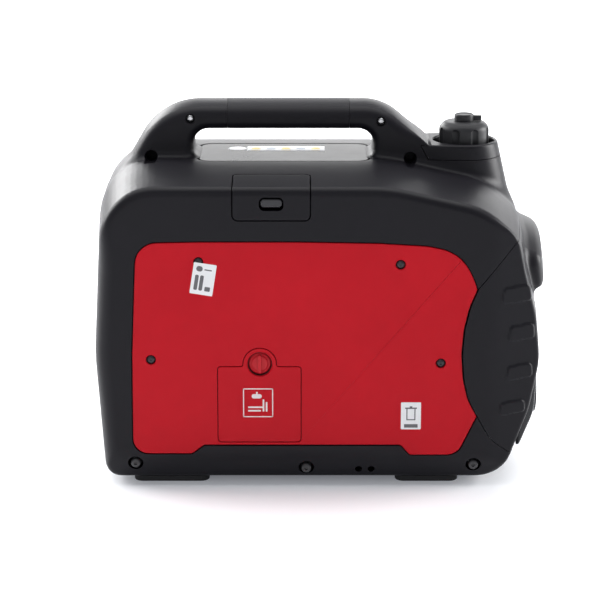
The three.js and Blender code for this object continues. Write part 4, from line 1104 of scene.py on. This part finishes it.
def filler_cap():
    """The fluted cap, and the vent disc with its lever."""
    low, high = span("fuel_cap")
    radius = (high[0] - low[0]) / 2
    shape = soft_profile([(0, low[2], 0), (radius - 1, low[2], 0.5), (radius, low[2] + 1.5, 1),
                          (radius, high[2] - 6, 4), (radius - 5.5, high[2] - 0.6, 3), (radius - 9, high[2], 1),
                          (0, high[2], 0)], 6)
    cap = lathe("cap_body", "Z", (NECK_X, 0), shape, 96)
    flutes = []
    for k in range(8):
        turn = 2 * math.pi * (k + 0.5) / 8
        centre = (NECK_X + (radius + 3.4) * math.cos(turn), (radius + 3.4) * math.sin(turn))
        flutes.append(lathe("tool", "Z", centre, soft_profile([
            (0, low[2] - 2, 0), (6, low[2] - 2, 0), (6, high[2] - 6.5, 4), (0, high[2] - 3.6, 0)]), 28))
    neck = rod("Z", (NECK_X, 0), 21.4, low[2] - 5, low[2] + 8.6, 64)
    combine(cap, [*flutes, neck])
    finished(cap, "fuel_cap", finish("cap"), ["fuel_cap"])
    low, high = span("vent_lever")
    disc = lathe("vent_disc", "Z", (NECK_X, 0), soft_profile([
        (0, low[2], 0), (11, low[2], 0.3), (11, high[2] - 1.6, 0.6), (10.4, high[2] - 0.3, 0.6), (9.4, high[2], 0.5),
        (8.4, high[2] - 0.9, 0.5), (0, high[2] - 1.1, 0)], 5), 64)
    lever = block("tool", "Z", [(NECK_X + 6, -3.6, 1), (high[0] - 0.5, -2.6, 1.2), (high[0] - 0.5, 2.6, 1.2),
                                (NECK_X + 6, 3.6, 1)], low[2] + 0.1, high[2] - 1.8, 0.8, 0.4)
    combine(disc, [lever], "UNION")
    finished(disc, "vent_lever", finish("cap"), ["vent_lever"])


# ------------------------------------------------------------------ control panel

def control_panel():
    """The bulging face with the sockets, lamps, switches and terminal let into it."""
    low, high = span("control_panel")
    face = [(low[0], low[2] + 0.4, 1), (high[0] - 18, low[2] + 0.4, 3), (high[0] - 2, low[2] + 40, 60),
            (high[0] + 0.2, low[2] + 84, 90), (high[0] - 4, low[2] + 126, 100), (high[0] - 11, high[2] - 0.6, 2),
            (low[0], high[2] - 0.6, 1)]
    made = block("control_face", "Y", face, low[1] + 0.3, high[1] - 0.3, 2.5, 2.5, 4, 12)
    hollow = block("tool", "Y", [(u - 3 if u > low[0] + 1 else u - 6, v, r) for u, v, r in face],
                   low[1] + 5, high[1] - 5, 0, 0, 1, 12)
    through = (FRONT - 60, FRONT + 5)
    places = {node: middle(node) for node in ("ac_socket_1", "ac_socket_2", "dc_socket", "breaker_button",
                                              "earth_terminal", "economy_switch", "indicator_lamps")}
    at = {node: (p[1], p[2]) for node, p in places.items()}
    switch_low, switch_high = span("economy_switch")
    lamp_low, lamp_high = span("indicator_lamps")
    tools = [hollow,
             *[rod("X", at[n], 24.5, *through, 64) for n in ("ac_socket_1", "ac_socket_2")],
             rod("X", at["dc_socket"], 13.5, *through, 48), rod("X", at["breaker_button"], 7, *through, 40),
             rod("X", at["earth_terminal"], 3.5, *through, 32),
             block("tool", "X", rectangle(switch_low[1:] - (1, 3), switch_high[1:] + (1, 3), 2), *through),
             block("tool", "X", rectangle(lamp_low[1:] - 0.5, lamp_high[1:] + 0.5, 2), *through)]
    combine(made, tools)
    finished(made, "casing", finish("gloss"), ["control_panel"])
    for i in (1, 2):
        node = f"ac_socket_{i}"
        back, front = span(node)[0][0], span(node)[1][0]
        body = lathe(f"outlet_{i}", "X", at[node], soft_profile([
            (0, back, 0), (24, back, 0.5), (24, front, 1), (21, front, 1), (20, front - 16, 0.5),
            (0, front - 16, 0)], 5), 64)
        pins = [rod("X", (at[node][0] + d, at[node][1]), 2.5, front - 28, front, 20) for d in (-9.5, 9.5)]
        clips = [block("tool", "X", rectangle((at[node][0] - 3, at[node][1] + s * 17 - 2),
                                              (at[node][0] + 3, at[node][1] + s * 17 + 2), 0.8),
                       front - 20, front) for s in (-1, 1)]
        finished(combine(body, pins + clips), "casing", finish("dark"), [node])
        lid_low, lid_high = span(f"socket_lid_{i}")
        lid = lathe(f"outlet_lid_{i}", "X", at[node], soft_profile([
            (0, lid_low[0], 0), (26.8, lid_low[0], 0.4), (26.8, lid_high[0] - 0.4, 1.1), (21, lid_high[0] - 0.2, 1),
            (20, lid_high[0] - 0.9, 0.6), (0, lid_high[0] - 0.7, 0)], 5), 72)
        ear = block("tool", "X", rectangle((at[node][0] - 9, at[node][1] + 20), (at[node][0] + 9, lid_high[2]), 2),
                    lid_low[0], lid_high[0] - 0.3, 0.8)
        finished(combine(lid, [ear], "UNION"), f"socket_lid_{i}", finish("gloss"), [f"socket_lid_{i}"])
    small_controls(at)


def small_controls(at):
    """The low-voltage socket, breaker, earth terminal, rocker switch and lamps."""
    low, high = span("dc_socket")
    ring = lathe("low_voltage_socket", "X", at["dc_socket"], soft_profile([
        (0, low[0], 0), (12.8, low[0], 0.5), (12.8, high[0], 1), (10.4, high[0], 0.8), (9, high[0] - 2, 0.6),
        (9, low[0] + 8, 0), (0, low[0] + 8, 0)], 5), 56)
    finished(ring, "casing", finish("gloss"), ["dc_socket"])
    low, high = span("breaker_button")
    button = lathe("breaker_cap", "X", at["breaker_button"], soft_profile([
        (0, low[0], 0), (6.4, low[0], 0), (6.4, high[0] - 0.2, 1.4), (0, high[0], 0)], 5), 40)
    finished(button, "breaker_button", finish("knob"), ["breaker_button"])
    low, high = span("earth_terminal")
    stud = lathe("earth_stud", "X", at["earth_terminal"], soft_profile([
        (0, low[0], 0), (3, low[0], 0), (3, high[0], 0.7), (0, high[0], 0)]), 28)
    nut = block("tool", "X", [(*p, 0.2) for p in circle(at["earth_terminal"], 5.9, 6)], high[0] - 4.4, high[0] - 1.4,
                0.3, 0.3, 2, 1)
    finished(combine(stud, [nut], "UNION"), "casing", finish("steel"), ["earth_terminal"])
    low, high = span("economy_switch")
    rocker = block("economy_rocker", "Y", [
        (low[0], low[2], 1), (high[0], low[2], 1.5), (high[0] - 3, at["economy_switch"][1], 30),
        (high[0], high[2], 1.5), (low[0], high[2], 1)], low[1], high[1], 0.8, 0.8, 3)
    finished(rocker, "economy_switch", finish("gloss"), ["economy_switch"])
    low, high = span("indicator_lamps")
    strip = block("lamp_strip", "X", rectangle(low[1:] + 0.2, high[1:] - 0.2, 1.8), low[0], high[0] - 1.4, 0.6)
    finished(strip, "casing", finish("dark"), [])
    parts = [lathe("lamp", "X", (at["indicator_lamps"][0] + d, at["indicator_lamps"][1]),
                   soft_profile([(0, high[0] - 1.3, 0), (3.6, high[0] - 1.3, 0), (3.6, high[0] - 0.6, 0.5),
                                 (0, high[0], 0)]), 32) for d in (-14, 0, 14)]
    finished(joined("lamps", parts), "casing", finish("lens"), ["indicator_lamps"])


# ------------------------------------------------------------------ starter side

def starter():
    """The starter's grip and rope, and the engine switch."""
    low, high = span("recoil_grip")
    mid = middle("recoil_grip")
    grip = block("starter_grip", "Z", [
        (low[0], low[1] + 4.5, 6), (mid[0] - 12, low[1], 6), (mid[0] + 12, low[1], 6), (high[0], low[1] + 4.5, 6),
        (high[0], high[1], 8), (low[0], high[1], 8)], low[2], high[2], 5, 5, 6, 10)
    grooves = [block("tool", "Z", rectangle((mid[0] + d - 1.2, high[1] - 1.2), (mid[0] + d + 1.2, high[1] + 3), 1),
                     low[2] - 2, high[2] + 2) for d in (-24, -18, -12, 12, 18, 24)]
    finished(combine(grip, grooves), "recoil_grip", finish("rubber"), ["recoil_grip"])
    rope_low, rope_high = span("starter_rope")
    radius = (rope_high[0] - rope_low[0]) / 2
    axis = middle("recoil_pulley")
    wound = axis[2] - rope_low[2] - radius
    start = math.pi / 2
    path = [(mid[0], axis[1] + wound * math.cos(t), axis[2] + wound * math.sin(t))
            for t in (start + 2 * math.pi * (1 - k / 40) for k in range(2, 41))]
    path += [(mid[0], y, axis[2] + wound) for y in np.linspace(axis[1] + 6, low[1] + 1.5, 26)]
    rope = tube("rope", path, radius)
    dress(shade(rope), finish("cord"))
    free = axis[1] + wound + 2 * radius  # where the rope has left the pulley
    free * MM
    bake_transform(rope)
    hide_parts("starter_rope")
    low, high = span("engine_switch")
    at = middle("engine_switch")[::2]
    dial = lathe("switch_dial", "Y", at, soft_profile([
        (0, low[1], 0), (5, low[1], 0), (5, PANEL_FACE - 7, 0), (21, PANEL_FACE - 7, 0), (21, PANEL_FACE - 2.4, 1.2),
        (18.6, PANEL_FACE - 1.4, 0.8), (0, PANEL_FACE - 1.2, 0)], 5), 72)
    bar = block("tool", "Y", rectangle((at[0] - 3.8, at[1] - 17), (at[0] + 3.8, at[1] + 17), 3.6), PANEL_FACE - 4,
                high[1], 1.1)
    finished(combine(dial, [bar], "UNION"), "engine_switch", finish("gloss"), ["engine_switch"])
    mark = block("switch_mark", "Y", rectangle((at[0] - 0.7, at[1] + 9), (at[0] + 0.7, at[1] + 15), 0.5), high[1] - 0.2,
                 high[1] + 0.05)
    finished(mark, "engine_switch", finish("label"), [])


# ------------------------------------------------------------------ feet and what is inside

def feet():
    """The four rubber feet."""
    for end in ("rear", "front"):
        for side in ("left", "right"):
            node = f"foot_{end}_{side}"
            low, high = span(node)
            made = block(f"rubber_{node}", "Z", rectangle(low[:2], high[:2], 10), low[2], high[2], 0, 1.6)
            finished(made, "casing", finish("rubber"), [node])


INSIDE = {
    "base_tray": "casing", "recoil_pulley": "alloy", "recoil_housing": "casing", "fuel_tank": "tank",
    "fuel_cap_seal": "rubber", "crankcase": "alloy", "cylinder_head": "alloy", "spark_plug": "ceramic",
    "spark_plug_boot": "rubber", "oil_filler_cap": "gloss", "crankshaft": "iron", "piston": "alloy",
    "connecting_rod": "iron", "rotor": "iron", "stator": "copper", "muffler": "muffler",
    "exhaust_outlet": "steel", "carburettor": "alloy", "air_cleaner": "tank", "inverter_module": "alloy",
    "ignition_module": "rubber",
}


def inside():
    """Gives the frame's own inside parts their finishes."""
    for node, kind in INSIDE.items():
        dress(bpy.data.objects[node], finish(kind))


# ------------------------------------------------------------------ labels

def patch(marks, about, turn, name, kind, body="casing", slot="red_plastic"):
    """Several thin marks joined into one printed piece, turned about a point."""
    made = joined(name, marks)
    moved(made, turn=turn, axis="Y", about=(about[0], 0, about[1]))
    return finished(made, body, finish(kind), [])


def mark(x0, z0, x1, z1, painted_glow_share, radius=0.4):
    """One thin rectangular mark on the left panel."""
    return block("mark", "Y", rectangle((x0, z0), (x1, z1), radius), -PANEL_FACE - painted_glow_share, -PANEL_FACE - painted_glow_share + 0.2)


def labels():
    """Plain labels with bars and simple signs, and the hatch's pictogram."""
    x, z = REAR + 128, PANEL_TOP - 41
    patch([mark(x - 12.5, z - 17.5, x + 12.5, z + 17.5, 0.2, 1)], (x, z), 9, "rating_label", "label")
    bars = [mark(x - 9, z + 8, x - 2, z + 14, 0.26, 2.9), mark(x, z + 10, x + 8, z + 11.4, 0.26),
            mark(x - 9, z - 13, x - 5, z + 4, 0.26, 1.5), mark(x - 3.5, z - 13, x + 0.5, z + 4, 0.26, 1.5),
            mark(x + 3, z - 13, x + 9, z - 8, 0.26, 1)]
    patch(bars, (x, z), 9, "rating_label_print", "ink")
    x, z = FRONT - 155, BASE + 75
    patch([mark(x - 11, z - 15.5, x + 11, z + 15.5, 0.2, 1)], (x, z), 0, "disposal_label", "label")
    bars = [mark(x - 7.5, z - 13.5, x + 7.5, z - 9.5, 0.26), mark(x - 5, z - 5, x - 3.8, z + 8, 0.26),
            mark(x + 3.8, z - 5, x + 5, z + 8, 0.26), mark(x - 5, z - 5, x + 5, z - 3.8, 0.26),
            mark(x - 6.5, z + 8, x + 6.5, z + 9.6, 0.26), mark(x - 1.5, z + 9.6, x + 1.5, z + 11, 0.26)]
    patch(bars, (x, z), 0, "disposal_label_print", "ink")
    x, z = KNOB[0] - 2, HATCH_LOW[2] + 45
    half = 16.5
    frame_marks = [mark(x - half, z - half, x - half + 1.1, z + half, 0.12),
                   mark(x + half - 1.1, z - half, x + half, z + half, 0.12),
                   mark(x - half, z - half, x + half, z - half + 1.1, 0.12),
                   mark(x - half, z + half - 1.1, x + half, z + half, 0.12),
                   mark(x - 11, z - 10, x + 3, z - 8.2, 0.12), mark(x - 11, z - 6, x + 5, z - 4.2, 0.12),
                   mark(x - 7, z + 5, x + 4, z + 10, 0.12, 2.4), mark(x - 2.2, z + 10, x - 0.4, z + 12.5, 0.12),
                   mark(x + 5, z - 10, x + 6.8, z + 4, 0.12), mark(x + 8.4, z - 10, x + 10.2, z + 1, 0.12)]
    patch(frame_marks, (x, z), 0, "hatch_pictogram", "print", "service_door")
    deck_labels()


def deck_labels():
    """The strip of plain coloured fields on the deck plate."""
    top = span("deck_plate")[1][2] - 0.2
    low, high = REAR + 173, REAR + 261
    strip = block("deck_strip", "Z", rectangle((low, 8), (high, 34), 1), top - 0.02, top + 0.15)
    finished(strip, "casing", finish("label"), [])
    disc = lathe("deck_disc", "Z", (low - 11, 21), [
        (0, top - 0.02), (10.4, top - 0.02), (10.4, top + 0.15), (0, top + 0.15)], 48)
    finished(disc, "casing", finish("label"), [])
    for kind, first in (("amber", 0), ("grey", 1)):
        fields = []
        for k in range(first, 5, 2):
            x = low + 10 + k * 17
            fields.append(lathe("field", "Z", (x, 22), [
                (0, top + 0.1), (5.2, top + 0.1), (5.2, top + 0.22), (0, top + 0.22)], 32))
            fields.append(block("field", "Z", rectangle((x - 5, 10.5), (x + 5, 13), 0.5), top + 0.1, top + 0.22))
        finished(joined(f"deck_strip_{kind}", fields), "casing", finish(kind), [])


# ------------------------------------------------------------------ stage

def area_light(name, place, aim, size, power, colour=(1, 1, 1)):
    """A soft rectangular light, aimed at a point."""
    lamp = bpy.data.lights.new(name, "AREA")
    lamp.shape = "RECTANGLE"
    lamp.size, lamp.size_y = size
    lamp.energy = power
    lamp.color = colour
    made = bpy.data.objects.new(name, lamp)
    bpy.context.scene.collection.objects.link(made)
    made.location = place
    made.rotation_euler = (Vector(aim) - Vector(place)).to_track_quat("-Z", "Y").to_euler()
    made.visible_camera = False
    return made


CAMERA_X = -0.022  # the camera stands square to this station, in metres
CAMERA_AIM_HEIGHT = 0.176


def camera():
    """The camera, low in front of the service side."""
    lens = bpy.data.cameras.new("camera")
    lens.lens, lens.sensor_width = 140.4, 36
    made = bpy.data.objects.new("camera", lens)
    bpy.context.scene.collection.objects.link(made)
    made.location = (CAMERA_X, -2.6, 0.86)
    aim = Vector((CAMERA_X, 0, CAMERA_AIM_HEIGHT)) - made.location
    made.rotation_euler = aim.to_track_quat("-Z", "Y").to_euler()
    bpy.context.scene.camera = made


def studio():
    """The pale floor with its painted glow, the soft lights and the world."""
    reach = 14000
    floor = new_object("floor", [(-reach, -reach, 0), (reach, -reach, 0), (reach, reach, 0), (-reach, reach, 0)],
                       [(0, 1, 2, 3)])
    # The floor glows of itself as painted light: dim out to 0.7 m from the middle, rising to its brightest at 2.7 m, so
    # painted shade lies on the floor round the object.
    paint = Paint("pale_floor", Emission_Strength=1.0)
    speckle = paint.noise(3, 3, 0.5)
    away = paint.node("ShaderNodeVectorMath", {"operation": "LENGTH"}, {0: paint.place}, "Value")
    painted_glow_share = ((away - 0.7) * 0.5).clamped()
    paint.set("Base Color", paint.blend((0.84, 0.845, 0.86), (0.86, 0.865, 0.875), speckle))
    paint.set("Emission Color", paint.blend((0.15, 0.155, 0.17), (0.66, 0.66, 0.67), painted_glow_share))
    paint.set("Roughness", speckle * 0.05 + 0.42)
    dress(floor, paint.material)
    area_light("overhead", (0, 0.3, 2.3), (0, 0, 0.2), (3.0, 2.0), 46)
    area_light("left_wing", (-2.3, 0.9, 1.2), (-0.2, 0, 0.25), (1.5, 1.7), 85)
    area_light("right_wing", (2.4, 0.5, 0.9), (0.2, 0, 0.2), (1.3, 1.4), 85)
    area_light("left_back", (-1.9, 3.2, 1.5), (-0.2, 0, 0.3), (1.3, 1.1), 46)
    area_light("back_glow", (0, 3.6, 1.25), (0, 0, 0.3), (5.4, 1.9), 85)
    area_light("front_fill", (-0.9, -3.4, 1.9), (0, 0, 0.2), (2.0, 1.2), 8)
    world = bpy.data.worlds.new("studio_world")
    world.use_nodes = True
    world.node_tree.nodes["Background"].inputs["Color"].default_value = (0.93, 0.95, 1.0, 1.0)
    world.node_tree.nodes["Background"].inputs["Strength"].default_value = 0.4
    bpy.context.scene.world = world
    bpy.context.scene.view_settings.view_transform = "Standard"


# ------------------------------------------------------------------ the add-on

class GENERATOR_OT_studio(Operator):
    """The camera, the pale floor and the soft lights"""

    bl_idname = "generator.studio"
    bl_label = "Studio"

    def execute(self, context):
        camera()
        studio()
        return {"FINISHED"}


class GENERATOR_OT_shells(Operator):
    """The two halves of the casing"""

    bl_idname = "generator.shells"
    bl_label = "Shells"

    def execute(self, context):
        shells()
        return {"FINISHED"}


class GENERATOR_OT_end_moulding(Operator):
    """The end moulding with its ribs and hood"""

    bl_idname = "generator.end_moulding"
    bl_label = "End moulding"

    def execute(self, context):
        end_moulding()
        return {"FINISHED"}


class GENERATOR_OT_handle_and_deck(Operator):
    """The handle's sleeve and the plate under it"""

    bl_idname = "generator.handle_and_deck"
    bl_label = "Handle and deck"

    def execute(self, context):
        grip_sleeve()
        deck_inlay()
        return {"FINISHED"}


class GENERATOR_OT_filler(Operator):
    """The filler's collar, cap and vent lever"""

    bl_idname = "generator.filler"
    bl_label = "Filler"

    def execute(self, context):
        collar()
        filler_cap()
        return {"FINISHED"}


class GENERATOR_OT_plug_cover(Operator):
    """The spark plug's cover and its latch"""

    bl_idname = "generator.plug_cover"
    bl_label = "Plug cover"

    def execute(self, context):
        plug_cover()
        return {"FINISHED"}


class GENERATOR_OT_rear_vent(Operator):
    """The louvred vent and the exhaust's boss"""

    bl_idname = "generator.rear_vent"
    bl_label = "Rear vent"

    def execute(self, context):
        rear_grille()
        return {"FINISHED"}


class GENERATOR_OT_red_panels(Operator):
    """The red panels, the hatch with its knob, and the screws"""

    bl_idname = "generator.red_panels"
    bl_label = "Red panels"

    def execute(self, context):
        red_panels()
        hatch()
        screws()
        recess_screws()
        return {"FINISHED"}


class GENERATOR_OT_control_panel(Operator):
    """The control panel and what is let into it"""

    bl_idname = "generator.control_panel"
    bl_label = "Control panel"

    def execute(self, context):
        control_panel()
        return {"FINISHED"}


class GENERATOR_OT_starter(Operator):
    """The starter's grip and rope, and the engine switch"""

    bl_idname = "generator.starter"
    bl_label = "Starter"

    def execute(self, context):
        starter()
        return {"FINISHED"}


class GENERATOR_OT_feet_and_inside(Operator):
    """The feet, and the finishes of what is inside"""

    bl_idname = "generator.feet_and_inside"
    bl_label = "Feet and inside"

    def execute(self, context):
        feet()
        inside()
        return {"FINISHED"}


class GENERATOR_OT_labels(Operator):
    """The plain labels and the pictogram"""

    bl_idname = "generator.labels"
    bl_label = "Labels"

    def execute(self, context):
        labels()
        return {"FINISHED"}


STEPS = [
    GENERATOR_OT_studio,
    GENERATOR_OT_shells,
    GENERATOR_OT_end_moulding,
    GENERATOR_OT_handle_and_deck,
    GENERATOR_OT_filler,
    GENERATOR_OT_plug_cover,
    GENERATOR_OT_rear_vent,
    GENERATOR_OT_red_panels,
    GENERATOR_OT_control_panel,
    GENERATOR_OT_starter,
    GENERATOR_OT_feet_and_inside,
    GENERATOR_OT_labels,
]


class GENERATOR_PT_build(Panel):
    """The generator's sizes, colours and building steps"""

    bl_label = "Generator"
    bl_idname = "GENERATOR_PT_build"
    bl_space_type = "VIEW_3D"
    bl_region_type = "UI"
    bl_category = "Generator"

    def draw(self, context):
        layout = self.layout
        for name in GeneratorSettings.__annotations__:
            layout.prop(context.scene.generator, name)
        for made in STEPS:
            layout.operator(made.bl_idname)


CLASSES = [GeneratorSettings, *STEPS, GENERATOR_PT_build]


def register():
    for made in CLASSES:
        bpy.utils.register_class(made)
    bpy.types.Scene.generator = PointerProperty(type=GeneratorSettings)


def unregister():
    del bpy.types.Scene.generator
    for made in reversed(CLASSES):
        bpy.utils.unregister_class(made)


def main():
    """Builds the generator."""
    register()
    for made in STEPS:
        group, name = made.bl_idname.split(".")
        getattr(getattr(bpy.ops, group), name)()


if __name__ == "__main__":
    main()
